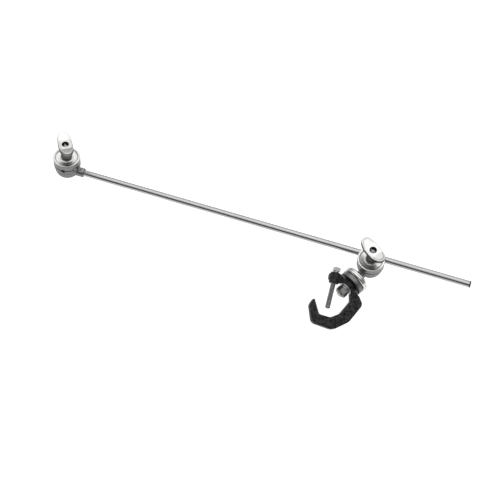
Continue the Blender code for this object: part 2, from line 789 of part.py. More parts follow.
def clamp(frame):
    """Cast C-shaped frame with a stud boss, a bolt boss and their holes."""
    body = chamfered_plate("clamp_frame", CLAMP_OUTLINE, CLAMP_T / 2, CLAMP_EDGE, frame, "black_iron")
    boss_profile = (
        (0.0, SPINE_IN + BOSS_LIP),
        (BOSS_R, SPINE_IN + BOSS_LIP),
        (BOSS_R, BOSS_START + 1.0),
        (BOSS_R - 1.0, BOSS_START),
        (0.0, BOSS_START),
    )
    boolean(body, turned("clamp_stud_boss", boss_profile, frame, ACROSS_X), "UNION")
    spot_end = SPINE_IN + SPOT_REACH
    spot = rod_cutter("clamp_spot_face", STUD_WASHER_R + SPOT_RUN, SPINE_IN, spot_end, frame, ACROSS_X)
    hole = rod_cutter("clamp_stud_hole", STUD_D / 2 + RUN, BOSS_START - 1.0, SPINE_IN + 2.0, frame, ACROSS_X)
    boolean(body, spot)
    boolean(body, hole)
    return body


def pipe_bolt(frame, body):
    """Square-headed bolt through the clamp's boss, tip towards the seat. Its tip is at z = 0."""
    radius = PIPE_BOLT_D / 2
    profile = (
        (0.0, PIPE_BOLT_L + 1.0),
        (radius, PIPE_BOLT_L + 1.0),
        (radius, 3.4),
        (radius * 0.9, 1.5),
        (radius * 0.6, 0.3),
        (0.0, 0.0),
    )
    bolt = turned("pipe_bolt", profile, frame, Matrix(), "zinc_steel", 32)
    half = PIPE_BOLT_SQUARE / 2
    corners = ((half, half, 0.8), (-half, half, 0.8), (-half, -half, 0.8), (half, -half, 0.8))
    top = PIPE_BOLT_L + PIPE_BOLT_HEAD_T
    head = plate("pipe_bolt_head", rounded(corners), PIPE_BOLT_L, top, frame, Matrix(), None, 0.8)
    boolean(bolt, head, "UNION")
    start = PIPE_BOLT_L - PIPE_BOLT_OUT
    low = start - PIPE_BOSS_L
    boss_profile = (
        (0.0, start),
        (PIPE_BOSS_R - 1.0, start),
        (PIPE_BOSS_R, start - 1.0),
        (PIPE_BOSS_R, low),
        (0.0, low),
    )
    boolean(body, turned("clamp_bolt_boss", boss_profile, frame), "UNION")
    deep = start - PIPE_HOLE_L
    boolean(body, rod_cutter("clamp_bolt_hole", radius + RUN, deep, start + PIPE_BOSS_R, frame))


def build():
    """Lay out the frames, then make every piece in its own frame."""
    stud_line = Matrix.Rotation(math.radians(STUD_AZIMUTH + 180.0), 4, "Z")
    head_at = Vector((0.0, -GROOVE_BIG_Y, 0.0))
    stud_at = head_at + Vector((0.0, 0.0, STUD_Z))
    roll = Matrix.Rotation(math.radians(CLAMP_ROLL), 4, "X")
    clamp_axes = Matrix.Translation(stud_at * MM) @ stud_line @ roll
    pipe = clamp_axes @ (pipe_centre().to_3d() * MM)
    arm = empty("arm_axis", Matrix.Translation(-pipe))
    sliding = empty("sliding_head_axis", Matrix.Translation(head_at * MM), arm)
    lean = Matrix.Rotation(math.radians(FIXED_HEAD_LEAN), 4, "X")
    fixed_at = Matrix.Translation((FIXED_HEAD_X * MM, 0.0, 0.0)) @ lean
    fixed = empty("fixed_head_axis", fixed_at @ Matrix.Translation((0.0, 0.0, -TUBE_Z * MM)), arm)
    stud = empty("stud_axis", clamp_axes, arm)
    along = Vector((math.cos(math.radians(PIPE_BOLT_ANGLE)), math.sin(math.radians(PIPE_BOLT_ANGLE)), 0.0))
    turn = Vector((0.0, 0.0, 1.0)).rotation_difference(-along).to_matrix().to_4x4()
    tip = Matrix.Translation((Vector((*PIPE_BOSS_AT, 0.0)) + along * (PIPE_BOLT_L - PIPE_BOLT_OUT)) * MM)
    bolt = empty("pipe_bolt_axis", tip @ turn, stud)
    bpy.context.view_layer.update()
    arm_tube(arm)
    fixed_head(fixed)
    sliding_head(sliding, stud_line)
    stud_line_pieces(stud)
    body = clamp(stud)
    pipe_bolt(bolt, body)
    print("pipe axis from the arm axis, mm:", [round(v / MM, 2) for v in pipe])


build()
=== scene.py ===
# %% [markdown]
# # A grip arm, dressed around its frame
# A grip arm is a long steel tube with a clamping head at each end. This one has a fixed head on
# the left, and on the right a sliding head that a cast clamp can hold on a pipe.
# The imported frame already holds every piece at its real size. This lesson swaps the faceted
# solids for smooth, detailed surfaces in the same places, and gives each one its finish.

# %% load the frame
import json
import math

import bmesh
import bpy
import numpy as np
from mathutils import Matrix, Vector

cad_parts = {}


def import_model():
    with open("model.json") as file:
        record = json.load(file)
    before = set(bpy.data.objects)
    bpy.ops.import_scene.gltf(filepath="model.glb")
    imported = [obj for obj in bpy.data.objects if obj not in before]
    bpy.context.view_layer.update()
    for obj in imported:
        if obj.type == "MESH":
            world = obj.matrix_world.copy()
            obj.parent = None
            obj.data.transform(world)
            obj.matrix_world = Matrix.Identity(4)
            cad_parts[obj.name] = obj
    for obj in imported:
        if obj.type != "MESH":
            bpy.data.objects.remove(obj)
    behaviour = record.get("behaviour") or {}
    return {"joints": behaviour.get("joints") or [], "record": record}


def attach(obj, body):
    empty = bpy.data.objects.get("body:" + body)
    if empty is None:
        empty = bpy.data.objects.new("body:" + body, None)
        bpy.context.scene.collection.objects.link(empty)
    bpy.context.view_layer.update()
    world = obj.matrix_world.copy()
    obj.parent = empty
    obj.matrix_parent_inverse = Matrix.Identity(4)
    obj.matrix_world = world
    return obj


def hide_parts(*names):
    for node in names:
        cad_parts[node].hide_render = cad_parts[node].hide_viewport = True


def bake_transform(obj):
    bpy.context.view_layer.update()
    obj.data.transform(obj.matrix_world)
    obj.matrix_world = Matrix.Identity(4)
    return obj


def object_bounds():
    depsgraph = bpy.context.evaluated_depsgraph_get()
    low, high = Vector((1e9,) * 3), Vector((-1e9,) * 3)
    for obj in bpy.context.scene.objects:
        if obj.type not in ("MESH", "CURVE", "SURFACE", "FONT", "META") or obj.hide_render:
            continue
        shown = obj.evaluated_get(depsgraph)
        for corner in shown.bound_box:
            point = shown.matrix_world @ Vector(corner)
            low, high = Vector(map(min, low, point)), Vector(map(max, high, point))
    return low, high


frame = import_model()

MM = 0.001
TAU = math.tau
CAD_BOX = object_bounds()
print("frame box in mm:", [round(v / MM) for v in CAD_BOX[1] - CAD_BOX[0]])

# %% [markdown]
# ## Where things are
# Nothing is placed by eye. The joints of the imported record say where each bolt's axis is and
# which way it points, so each group of pieces gets a small frame of its own: a matrix with its
# z along the bolt. A piece is drawn in that frame in millimetres, and the matrix takes it to
# its place in metres.

# %% a frame from an axis
JOINTS = {joint["name"]: joint for joint in frame["joints"]}
MOUNTS = {mount["name"]: mount for mount in frame["record"]["mounts"]}


def frame_on(origin, along, across):
    """Matrix from a frame in millimetres to the world: z is along, and x is across made square to it."""
    z = Vector(along).normalized()
    x = Vector(across)
    x = (x - z * x.dot(z)).normalized()
    y = z.cross(x)
    axes = Matrix((x, y, z)).transposed().to_4x4()
    return Matrix.Translation(Vector(origin)) @ axes @ Matrix.Scale(MM, 4)


ARM_WAY = Vector(JOINTS["arm_spin"]["axis"])
SLIDING = frame_on(JOINTS["sliding_jaw_turn"]["pos_m"], JOINTS["sliding_jaw_turn"]["axis"], ARM_WAY)
FIXED = frame_on(JOINTS["fixed_jaw_turn"]["pos_m"], JOINTS["fixed_jaw_turn"]["axis"], ARM_WAY)
ARM = frame_on(JOINTS["arm_spin"]["pos_m"], ARM_WAY, (0.0, 0.0, 1.0))
TO_CLAMP = -Vector(JOINTS["clamp_swivel"]["axis"])
CLAMP_FACE = -Vector(MOUNTS["pipe_jaw"]["axis"])
STUD = frame_on(JOINTS["clamp_swivel"]["pos_m"], TO_CLAMP, CLAMP_FACE)
CLAMP = frame_on(JOINTS["clamp_swivel"]["pos_m"], CLAMP_FACE, TO_CLAMP)
HEADS = {"sliding": SLIDING, "fixed": FIXED}
for label, matrix in (*HEADS.items(), ("stud", STUD)):
    print(label, "axis at", [round(v, 4) for v in matrix.translation])

# %% [markdown]
# ## The camera and the room
# The photo is taken from well above, with a long lens. The camera's place was found by fitting
# the tube's ends and both heads' discs to the picture. It comes first, so that every later step
# can be looked at through it.

# %% the camera
CAMERA_AT = Vector((0.1854, -1.1659, 2.6015))
ELEVATION = 63.15
AZIMUTH = 18.15
FOCAL_PIXELS = 1200.0
IMAGE_PIXELS = 500.0
SENSOR = 36.0
CLIP = (0.05, 60.0)


def camera():
    """Make the camera that sees the object as the photo does."""
    data = bpy.data.cameras.new("camera")
    data.sensor_width = SENSOR
    data.lens = FOCAL_PIXELS / IMAGE_PIXELS * SENSOR
    data.clip_start, data.clip_end = CLIP
    obj = bpy.data.objects.new("camera", data)
    a = math.radians(AZIMUTH)
    e = math.radians(ELEVATION)
    back = Vector((math.sin(a) * math.cos(e), -math.cos(a) * math.cos(e), math.sin(e)))
    obj.location = CAMERA_AT
    obj.rotation_mode = "QUATERNION"
    obj.rotation_quaternion = (-back).to_track_quat("-Z", "Y")
    bpy.context.scene.collection.objects.link(obj)
    bpy.context.scene.camera = obj
    print("camera lens", round(data.lens, 1), "mm, looking", [round(-v, 3) for v in back])


camera()

# %% the floor
FLOOR_DROP = 0.16      # from the lowest point of the object to the floor
FLOOR_SIZE = 40.0
FLOOR_TONES = (0.90, 0.93)
FLOOR_GLOW = 0.46


def plain_floor():
    """A wide pale floor, well below the object, faintly lit from within as a light table is."""
    mat = bpy.data.materials.new("pale_floor")
    mat.use_nodes = True
    tree = mat.node_tree
    shader = tree.nodes["Principled BSDF"]
    shader.inputs["Roughness"].default_value = 0.85
    shader.inputs["Specular IOR Level"].default_value = 0.15
    noise = tree.nodes.new("ShaderNodeTexNoise")
    noise.inputs["Scale"].default_value = 3.0
    ramp = tree.nodes.new("ShaderNodeValToRGB")
    for stop, tone in zip(ramp.color_ramp.elements, FLOOR_TONES):
        stop.color = (tone, tone, tone, 1.0)
    coords = tree.nodes.new("ShaderNodeTexCoord")
    tree.links.new(coords.outputs["Object"], noise.inputs["Vector"])
    tree.links.new(noise.outputs["Fac"], ramp.inputs["Fac"])
    tree.links.new(ramp.outputs["Color"], shader.inputs["Base Color"])
    tree.links.new(ramp.outputs["Color"], shader.inputs["Emission Color"])
    shader.inputs["Emission Strength"].default_value = FLOOR_GLOW
    z = CAD_BOX[0].z - FLOOR_DROP
    half = FLOOR_SIZE / 2
    mesh = bpy.data.meshes.new("floor")
    corners = ((-half, -half, z), (half, -half, z), (half, half, z), (-half, half, z))
    mesh.from_pydata(corners, [], [(0, 1, 2, 3)])
    mesh.materials.append(mat)
    obj = bpy.data.objects.new("floor", mesh)
    bpy.context.scene.collection.objects.link(obj)
    print("floor at z =", round(z, 3))


plain_floor()

# %% [markdown]
# ## Light
# Polished metal shows its room more than its own colour. In the photo the tube carries a bright
# strip on top, a dark band towards the camera and a grey edge on both sides, so the room is bright
# from overhead to the back, dim on the camera's side and white underfoot. The world gives those
# broad tones, and two soft panels give the highlights and the faint shading.

# %% the world
ZENITH = 1.25
ZENITH_LEAN = 17.0             # of the bright patch's middle from straight up, towards +Y
PATCH_EDGE = (0.63, 0.77)      # the patch fades between these values of d . u
HORIZON_BACK = 0.50
HORIZON_FRONT = 0.15
HORIZON_BAND = (-0.35, 0.30)   # the horizon turns from front to back between these values of y


def linear_map(tree, value, low, high, start, stop, kind="LINEAR"):
    """Map a value between start and stop to low and high."""
    node = tree.nodes.new("ShaderNodeMapRange")
    node.interpolation_type = kind
    node.inputs["From Min"].default_value = start
    node.inputs["From Max"].default_value = stop
    node.inputs["To Min"].default_value = low
    node.inputs["To Max"].default_value = high
    tree.links.new(value, node.inputs["Value"])
    return node.outputs["Result"]


def vector_math(tree, operation, vector, constant=None):
    """One vector operation on a linked vector and, where it takes one, a constant vector."""
    node = tree.nodes.new("ShaderNodeVectorMath")
    node.operation = operation
    tree.links.new(vector, node.inputs[0])
    if constant is not None:
        node.inputs[1].default_value = constant
    return node


def world():
    """Background light that depends only on direction d.

    The bright patch is where d . u is near 1, with u leaning from +Z towards +Y. Outside it the
    light rises with d's y, from the dim front to the paler back.
    """
    made = bpy.data.worlds.new("studio")
    made.use_nodes = True
    tree = made.node_tree
    back = tree.nodes["Background"]
    way = tree.nodes.new("ShaderNodeTexCoord").outputs["Generated"]
    split = tree.nodes.new("ShaderNodeSeparateXYZ")
    tree.links.new(way, split.inputs["Vector"])
    side = linear_map(tree, split.outputs["Y"], HORIZON_FRONT, HORIZON_BACK, *HORIZON_BAND)
    lean = math.radians(ZENITH_LEAN)
    patch = vector_math(tree, "DOT_PRODUCT", way, (0.0, math.sin(lean), math.cos(lean)))
    up = linear_map(tree, patch.outputs["Value"], 0.0, 1.0, *PATCH_EDGE, "SMOOTHSTEP")
    mix = tree.nodes.new("ShaderNodeMix")
    tree.links.new(up, mix.inputs["Factor"])
    tree.links.new(side, mix.inputs["A"])
    mix.inputs["B"].default_value = ZENITH
    tree.links.new(mix.outputs["Result"], back.inputs["Color"])
    bpy.context.scene.world = made
    bpy.context.scene.view_settings.view_transform = "Standard"


world()

# %% the soft panels
MIDDLE = (-0.2, 0.1, 0.0)      # of the object, where both panels aim


def panel(name, place, aim, width, height, watts):
    """A soft rectangular light at a place, facing an aim."""
    data = bpy.data.lights.new(name, "AREA")
    data.shape = "RECTANGLE"
    data.size = width
    data.size_y = height
    data.energy = watts
    obj = bpy.data.objects.new(name, data)
    obj.location = place
    obj.rotation_mode = "QUATERNION"
    obj.rotation_quaternion = (Vector(aim) - Vector(place)).to_track_quat("-Z", "Y")
    bpy.context.scene.collection.objects.link(obj)


panel("overhead", place=(-0.3, 1.0, 2.7), aim=MIDDLE, width=3.2, height=1.8, watts=6.0)
panel("left_fill", place=(-2.6, -0.6, 1.6), aim=MIDDLE, width=1.2, height=1.2, watts=4.0)

# %% [markdown]
# ## Surfaces from arrays
# Most of these pieces are turned on a lathe. A turned surface is a function of two numbers: how
# far along the profile, and how far around the axis. numpy works out the whole grid of points
# at once, and the faces follow from the grid's rows and columns.

# %% a grid's faces


def grid_faces(rows, columns, wrap_rows=False):
    """Quads between neighbours on a grid of points whose columns close on themselves."""
    row = np.arange(rows if wrap_rows else rows - 1)
    column = np.arange(columns)
    row, column = np.meshgrid(row, column, indexing="ij")
    below = (row + 1) % rows
    right = (column + 1) % columns
    near = (row * columns + column, row * columns + right)
    far = (below * columns + right, below * columns + column)
    return np.stack(near + far, -1).reshape(-1, 4)


def capped_faces(rows, columns):
    """A grid's quads, and one face each to close its first and its last row."""
    ends = [list(range(columns)), list(range((rows - 1) * columns, rows * columns))]
    return grid_faces(rows, columns).tolist() + ends


# %% rounded profiles
SIDE_SHARE = 0.45              # of a short side, the most that one corner's arc may take
LEAST_ARC = 0.01


def softened(profile, radius, closed=False, steps=4):
    """Round each corner of an (r, z) line by an arc of a radius, or less beside a short side.

    The arc is the quadratic curve through the corner's two tangent points that bends at the
    corner: (1-t)^2 a + 2t(1-t) c + t^2 b.
    """
    points = [np.array(p[:2], float) for p in profile]
    radii = [p[2] if len(p) > 2 else radius for p in profile]
    count = len(points)
    out = []
    t = np.linspace(0.0, 1.0, steps + 1)[:, None]
    for i, corner in enumerate(points):
        if not closed and i in (0, count - 1):
            out.append(corner[None])
            continue
        back = points[i - 1] - corner
        ahead = points[(i + 1) % count] - corner
        reach = min(radii[i], SIDE_SHARE * np.linalg.norm(back), SIDE_SHARE * np.linalg.norm(ahead))
        if reach < LEAST_ARC:
            out.append(corner[None])
            continue
        a = corner + back / np.linalg.norm(back) * reach
        b = corner + ahead / np.linalg.norm(ahead) * reach
        out.append((1 - t) ** 2 * a + 2 * t * (1 - t) * corner + t**2 * b)
    return np.vstack(out)


# %% turned surfaces


def around_axis(r, a, z):
    """Points (r cos a, r sin a, z) of a grid, as one list."""
    r, a, z = np.broadcast_arrays(r, a, z)
    return np.stack([r * np.cos(a), r * np.sin(a), z], -1).reshape(-1, 3)


def turned(profile, around=128, radius=0.4, closed=False):
    """Surface of revolution: the profile's point (r, z) at angle a is (r cos a, r sin a, z)."""
    r, z = softened(profile, radius, closed).T
    a = np.linspace(0.0, TAU, around, endpoint=False)
    return around_axis(r[:, None], a, z[:, None]), grid_faces(len(r), around, closed)


# %% screw threads
INCH = 25.4
THREAD_13 = INCH / 13
THREAD_11 = INCH / 11
THREAD_DEPTH = 0.54            # of the pitch


def thread_radius(radius, low, high, pitch, z, a):
    """Radius at height z and angle a: R - depth * groove(z / pitch - a / tau).

    groove is a rounded V, (1 - cos) / 2, and it fades to nothing within one pitch of both ends.
    """
    groove = 0.5 - 0.5 * np.cos(TAU * (z / pitch - a / TAU))
    fade = np.clip(np.minimum(z - low, high - z) / pitch, 0.0, 1.0)
    return radius - THREAD_DEPTH * pitch * groove * fade


def threaded(before, radius, low, high, after, pitch, around=72, per_turn=10):
    """A turned rod that is threaded from z = low to z = high, with plain (r, z) lines at both ends."""
    a = np.linspace(0.0, TAU, around, endpoint=False)[None, :]
    z = np.linspace(low, high, max(3, int((high - low) / pitch * per_turn)))[:, None]
    thread = thread_radius(radius, low, high, pitch, z, a)
    first = softened(before + [(radius, low)], 0.4)[:-1]
    last = softened([(radius, high)] + after, 0.4)[1:]
    plain = [np.repeat(line[:, :1], around, 1) for line in (first, last)]
    r = np.vstack([plain[0], thread, plain[1]])
    heights = np.vstack([first[:, 1:], z, last[:, 1:]])
    return around_axis(r, a, heights), grid_faces(len(r), around)


print("threads of 13 and 11 turns an inch have pitches of", round(THREAD_13, 3), round(THREAD_11, 3), "mm")

# %% [markdown]
# ## From arrays to pieces
# A piece is one mesh with its place in its own points, at the world's origin, because its
# finish reads those points. Cast pieces are joined from plain shells, and a voxel remesh with a
# little smoothing then gives the joint its fillet, as sand casting does.

# %% write one mesh


def shell(name, surface, matrix=Matrix()):
    """Make an object from (points, faces), its points taken through a matrix and its seams closed."""
    points, faces = surface
    turn = np.array(matrix)
    points = points @ turn[:3, :3].T + turn[:3, 3]
    mesh = bpy.data.meshes.new(name)
    mesh.from_pydata(points, [], faces)
    bm = bmesh.new()
    bm.from_mesh(mesh)
    bmesh.ops.remove_doubles(bm, verts=bm.verts, dist=1e-6)
    bmesh.ops.recalc_face_normals(bm, faces=bm.faces)
    bm.to_mesh(mesh)
    bm.free()
    obj = bpy.data.objects.new(name, mesh)
    bpy.context.scene.collection.objects.link(obj)
    return obj


def drill(radius, low, high, place=Matrix(), around=96, soft=0.4):
    """A round cutter between two heights on the z of its place."""
    profile = [(0.0, high), (radius, high), (radius, low), (0.0, low)]
    return shell("drill", turned(profile, around, soft), place)


# %% join and cut shells


def worked(base, joins=(), cuts=(), voxel=0.0, smooth=0):
    """Join and cut shells with exact booleans, remesh them in voxels if asked, and keep one mesh."""
    for others, operation in ((joins, "UNION"), (cuts, "DIFFERENCE")):
        for other in others:
            mod = base.modifiers.new(other.name, "BOOLEAN")
            mod.operation = operation
            mod.solver = "EXACT"
            mod.object = other
    if voxel:
        mod = base.modifiers.new("voxels", "REMESH")
        mod.mode = "VOXEL"
        mod.voxel_size = voxel
        mod.use_smooth_shade = True
    if smooth:
        mod = base.modifiers.new("smooth", "SMOOTH")
        mod.factor = 0.5
        mod.iterations = smooth
    depsgraph = bpy.context.evaluated_depsgraph_get()
    mesh = bpy.data.meshes.new_from_object(base.evaluated_get(depsgraph))
    base.modifiers.clear()
    base.data = mesh
    for other in (*joins, *cuts):
        bpy.data.objects.remove(other, do_unlink=True)


# %% name, place and finish a piece
BODY_OF = {node: body for body, nodes in frame["record"]["behaviour"]["bodies"].items() for node in nodes}
SHARP = math.radians(38)


def settle(obj, node, matrix, finish, second=None, where=None, rides=True):
    """Take a shell drawn in millimetres to its place, and let it ride and stand for its node.

    where(centres) says which faces get the second finish.
    """
    mesh = obj.data
    centres = np.empty(len(mesh.polygons) * 3, np.float32)
    mesh.polygons.foreach_get("center", centres)
    mesh.transform(matrix)
    mesh.materials.clear()
    mesh.materials.append(finish)
    if second:
        mesh.materials.append(second)
        mesh.polygons.foreach_set("material_index", where(centres.reshape(-1, 3)).astype(np.int32))
    mesh.shade_smooth()
    mesh.set_sharp_from_angle(angle=SHARP)
    mesh.update()
    mesh.name = obj.name
    if rides:
        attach(obj, BODY_OF[node])
    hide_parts(node)
    print(obj.name, "for", node + ":", len(mesh.polygons), "faces")


# %% [markdown]
# ## Finishes
# Every finish reads Object coordinates, in metres. A metal's colour hardly varies, so its life
# comes from how rough it is from place to place: lathe lines, tumbling marks, the fine lines
# of a drawn tube, and the patches of paint on iron.

# %% the parts of a finish


def blank(name, metallic=0.0):
    """A new material: its node tree, its shader and its Object coordinates."""
    mat = bpy.data.materials.new(name)
    mat.use_nodes = True
    tree = mat.node_tree
    shader = tree.nodes["Principled BSDF"]
    shader.inputs["Metallic"].default_value = metallic
    return mat, tree, shader, tree.nodes.new("ShaderNodeTexCoord").outputs["Object"]


def turned_to(tree, coords, matrix, scale=(1.0, 1.0, 1.0)):
    """Coordinates of a head's or a stud's own frame, in millimetres times a scale along each axis."""
    rotation = matrix.to_3x3().normalized()
    back = tree.nodes.new("ShaderNodeMapping")
    back.vector_type = "TEXTURE"
    back.inputs["Location"].default_value = matrix.translation
    back.inputs["Rotation"].default_value = rotation.to_euler("XYZ")
    back.inputs["Scale"].default_value = (MM, MM, MM)
    tree.links.new(coords, back.inputs["Vector"])
    return vector_math(tree, "MULTIPLY", back.outputs["Vector"], scale).outputs["Vector"]


def noise_of(tree, coords, scale, detail=3.0, roughness=0.55):
    """Noise from 0 to 1, about a half on average."""
    node = tree.nodes.new("ShaderNodeTexNoise")
    node.inputs["Scale"].default_value = scale
    node.inputs["Detail"].default_value = detail
    node.inputs["Roughness"].default_value = roughness
    tree.links.new(coords, node.inputs["Vector"])
    return node.outputs["Fac"]


def spread(tree, value, low, high, start=0.3, stop=0.7):
    """Map a value to low and high over the range that noise mostly keeps to, or over a given one."""
    return linear_map(tree, value, low, high, start, stop)


def tones(tree, value, dark, light, start=0.3, stop=0.7):
    """Blend two colours by a value."""
    node = tree.nodes.new("ShaderNodeValToRGB")
    node.color_ramp.elements[0].position = start
    node.color_ramp.elements[0].color = (*dark, 1.0)
    node.color_ramp.elements[1].position = stop
    node.color_ramp.elements[1].color = (*light, 1.0)
    tree.links.new(value, node.inputs["Fac"])
    return node.outputs["Color"]


def mottled(tree, shader, value, colour, share):
    """Give the shader a colour that falls to a share of itself where a value is low."""
    dark = tuple(c * share for c in colour)
    tree.links.new(tones(tree, value, dark, colour), shader.inputs["Base Color"])


def combined(tree, operation, first, second):
    """One arithmetic operation on two values."""
    node = tree.nodes.new("ShaderNodeMath")
    node.operation = operation
    tree.links.new(first, node.inputs[0])
    tree.links.new(second, node.inputs[1])
    return node.outputs["Value"]


def bumped(tree, shader, height, distance, below=None):
    """Raise a surface by height times a distance in metres, on top of any bump below it."""
    node = tree.nodes.new("ShaderNodeBump")
    node.inputs["Distance"].default_value = distance
    tree.links.new(height, node.inputs["Height"])
    if below:
        tree.links.new(below, node.inputs["Normal"])
    tree.links.new(node.outputs["Normal"], shader.inputs["Normal"])
    return node.outputs["Normal"]


# %% bright metal with lathe lines


def lathe_finish(name, colour, matrix, rough=(0.22, 0.34), lines=2.6, depth=3e-6):
    """Metal turned about a frame's z: rings of noise in the distance from the axis and in z."""
    mat, tree, shader, coords = blank(name, metallic=1.0)
    local = turned_to(tree, coords, matrix)
    split = tree.nodes.new("ShaderNodeSeparateXYZ")
    tree.links.new(local, split.inputs["Vector"])
    flat = vector_math(tree, "MULTIPLY", local, (1.0, 1.0, 0.0))
    away = vector_math(tree, "LENGTH", flat.outputs["Vector"])
    rings = tree.nodes.new("ShaderNodeCombineXYZ")
    tree.links.new(away.outputs["Value"], rings.inputs["X"])
    tree.links.new(split.outputs["Z"], rings.inputs["Z"])
    fine = noise_of(tree, rings.outputs["Vector"], lines, 4.0, 0.7)
    patchy = noise_of(tree, local, scale=0.09)
    mottled(tree, shader, patchy, colour, share=0.88)
    tree.links.new(spread(tree, fine, *rough), shader.inputs["Roughness"])
    bumped(tree, shader, fine, depth)
    return mat


# %% cast and tumbled metal
SIDE_SHADE_TURN = (0.45, 0.85)       # cosines of the slope where a side's tone ends and the top's starts
PIT_SCALE = 0.33
PIT_SIZE = (0.02, 0.14)
PIT_DEPTH = 2.5e-5


def cast_finish(name, colour, matrix, rough=(0.24, 0.40), side=1.0, grain=0.7, depth=1.2e-5):
    """Tumbled casting: soft mottling, a fine orange skin and a few small pits.

    Its sides get painted shade: their tone and specular tint fall to side times the face's as the
    normal turns away from the frame's z.
    """
    mat, tree, shader, coords = blank(name, metallic=1.0)
    local = turned_to(tree, coords, matrix)
    skin = noise_of(tree, local, grain, 4.0, 0.6)
    patchy = noise_of(tree, local, 0.07, 4.0)
    up = matrix.to_3x3().col[2].normalized()
    facing = vector_math(tree, "DOT_PRODUCT", coords.node.outputs["Normal"], up)
    # painted shade: tone and specular tint fall on faces that turn away from the frame's z
    painted_side_shade = linear_map(tree, facing.outputs["Value"], side, 1.0, *SIDE_SHADE_TURN, "SMOOTHSTEP")
    dark = tuple(c * 0.86 for c in colour)
    tone = vector_math(tree, "SCALE", tones(tree, patchy, dark, colour))
    tree.links.new(painted_side_shade, tone.inputs["Scale"])
    tree.links.new(painted_side_shade, shader.inputs["Specular Tint"])
    tree.links.new(tone.outputs["Vector"], shader.inputs["Base Color"])
    tree.links.new(spread(tree, patchy, *rough), shader.inputs["Roughness"])
    first = bumped(tree, shader, skin, depth)
    pits = tree.nodes.new("ShaderNodeTexVoronoi")
    pits.inputs["Scale"].default_value = PIT_SCALE
    tree.links.new(local, pits.inputs["Vector"])
    floor = spread(tree, pits.outputs["Distance"], 0.0, 1.0, *PIT_SIZE)
    bumped(tree, shader, floor, PIT_DEPTH, below=first)
    return mat


# %% drawn tube
ALONG_TUBE = (2.2, 2.2, 0.012)     # noise cells a millimetre across x and y, and along the tube
ROUND_TUBE = (0.05, 0.05, 0.9)
TUBE_PATCHES = (0.2, 0.2, 0.02)


def drawn_finish(name, colour, matrix, rough=(0.14, 0.30)):
    """Plated drawn tube: fine lines along its length, and faint rub rings where heads clamp it."""
    mat, tree, shader, coords = blank(name, metallic=1.0)
    lines = noise_of(tree, turned_to(tree, coords, matrix, ALONG_TUBE), 1.0, 4.0, 0.65)
    rubs = noise_of(tree, turned_to(tree, coords, matrix, ROUND_TUBE), 1.0, 3.0, 0.7)
    patchy = noise_of(tree, turned_to(tree, coords, matrix, TUBE_PATCHES), 1.0)
    mottled(tree, shader, patchy, colour, share=0.84)
    smooth, dull = rough
    rubbed = spread(tree, rubs, smooth, dull + 0.06, 0.62, 0.80)
    both = combined(tree, "MAXIMUM", spread(tree, lines, smooth, dull), rubbed)
    tree.links.new(both, shader.inputs["Roughness"])
    bumped(tree, shader, lines, 4e-6)
    return mat


# %% zinc plate
SPANGLE = 900.0                # crystals a metre


def zinc_finish(name, colour, rough=(0.28, 0.44), metallic=1.0):
    """Zinc plated steel: a faint spangle in its tone and its roughness."""
    mat, tree, shader, coords = blank(name, metallic)
    spangle = tree.nodes.new("ShaderNodeTexVoronoi")
    spangle.inputs["Scale"].default_value = SPANGLE
    tree.links.new(coords, spangle.inputs["Vector"])
    soft = noise_of(tree, coords, SPANGLE * 0.3, 4.0)
    mottled(tree, shader, soft, colour, share=0.78)
    tree.links.new(spread(tree, spangle.outputs["Distance"], *rough, 0.0, 0.6), shader.inputs["Roughness"])
    bumped(tree, shader, soft, 8e-6)
    return mat


# %% black paint on rough iron
THIN_PAINT = (0.050, 0.050, 0.051)
THICK_PAINT = (0.001, 0.001, 0.002)
EDGE_SHADE_BLACK = (0.001, 0.001, 0.001, 1.0)
PAINT_GLOSS = 0.18


def iron_finish(name, matrix):
    """Black paint over a sand casting: coarse and fine skin, dull grey patches, and convex edges darkened as
    painted shade.
    """
    mat, tree, shader, coords = blank(name)
    local = turned_to(tree, coords, matrix)
    coarse = noise_of(tree, local, 0.16, 5.0, 0.68)
    fine = noise_of(tree, local, 1.5, 4.0, 0.6)
    paint = tones(tree, coarse, THICK_PAINT, THIN_PAINT, 0.40, 0.62)
    shader.inputs["Specular IOR Level"].default_value = PAINT_GLOSS
    # painted shade: convex edges, picked out by pointiness, are darkened to near black
    bend = tree.nodes.new("ShaderNodeNewGeometry").outputs["Pointiness"]
    edge = spread(tree, bend, 0.0, 1.0, 0.51, 0.56)
    mix = tree.nodes.new("ShaderNodeMix")
    mix.data_type = "RGBA"
    broken = spread(tree, fine, 0.4, 1.0, 0.35, 0.6)
    tree.links.new(combined(tree, "MULTIPLY", edge, broken), mix.inputs["Factor"])
    tree.links.new(paint, mix.inputs["A"])
    mix.inputs["B"].default_value = EDGE_SHADE_BLACK
    tree.links.new(mix.outputs["Result"], shader.inputs["Base Color"])
    tree.links.new(spread(tree, coarse, 0.38, 0.62), shader.inputs["Roughness"])
    first = bumped(tree, shader, coarse, 6e-4)
    bumped(tree, shader, fine, 5e-5, below=first)
    return mat


# %% dull dark metal


def dark_finish(name, colour=(0.05, 0.05, 0.05), rough=(0.5, 0.7)):
    """Near-black dull colour: painted shade inside bores and wells, and the tube's open end as dark."""
    mat, tree, shader, coords = blank(name)
    shader.inputs["Specular IOR Level"].default_value = 0.12
    soft = noise_of(tree, coords, 700.0, 4.0)
    mottled(tree, shader, soft, colour, share=0.5)
    tree.links.new(spread(tree, soft, *rough), shader.inputs["Roughness"])
    bumped(tree, shader, soft, 2e-5)
    return mat


# %% the finishes by name
SATIN = (0.30, 0.46)


def grey(tone):
    """A neutral colour."""
    return (tone, tone, tone)


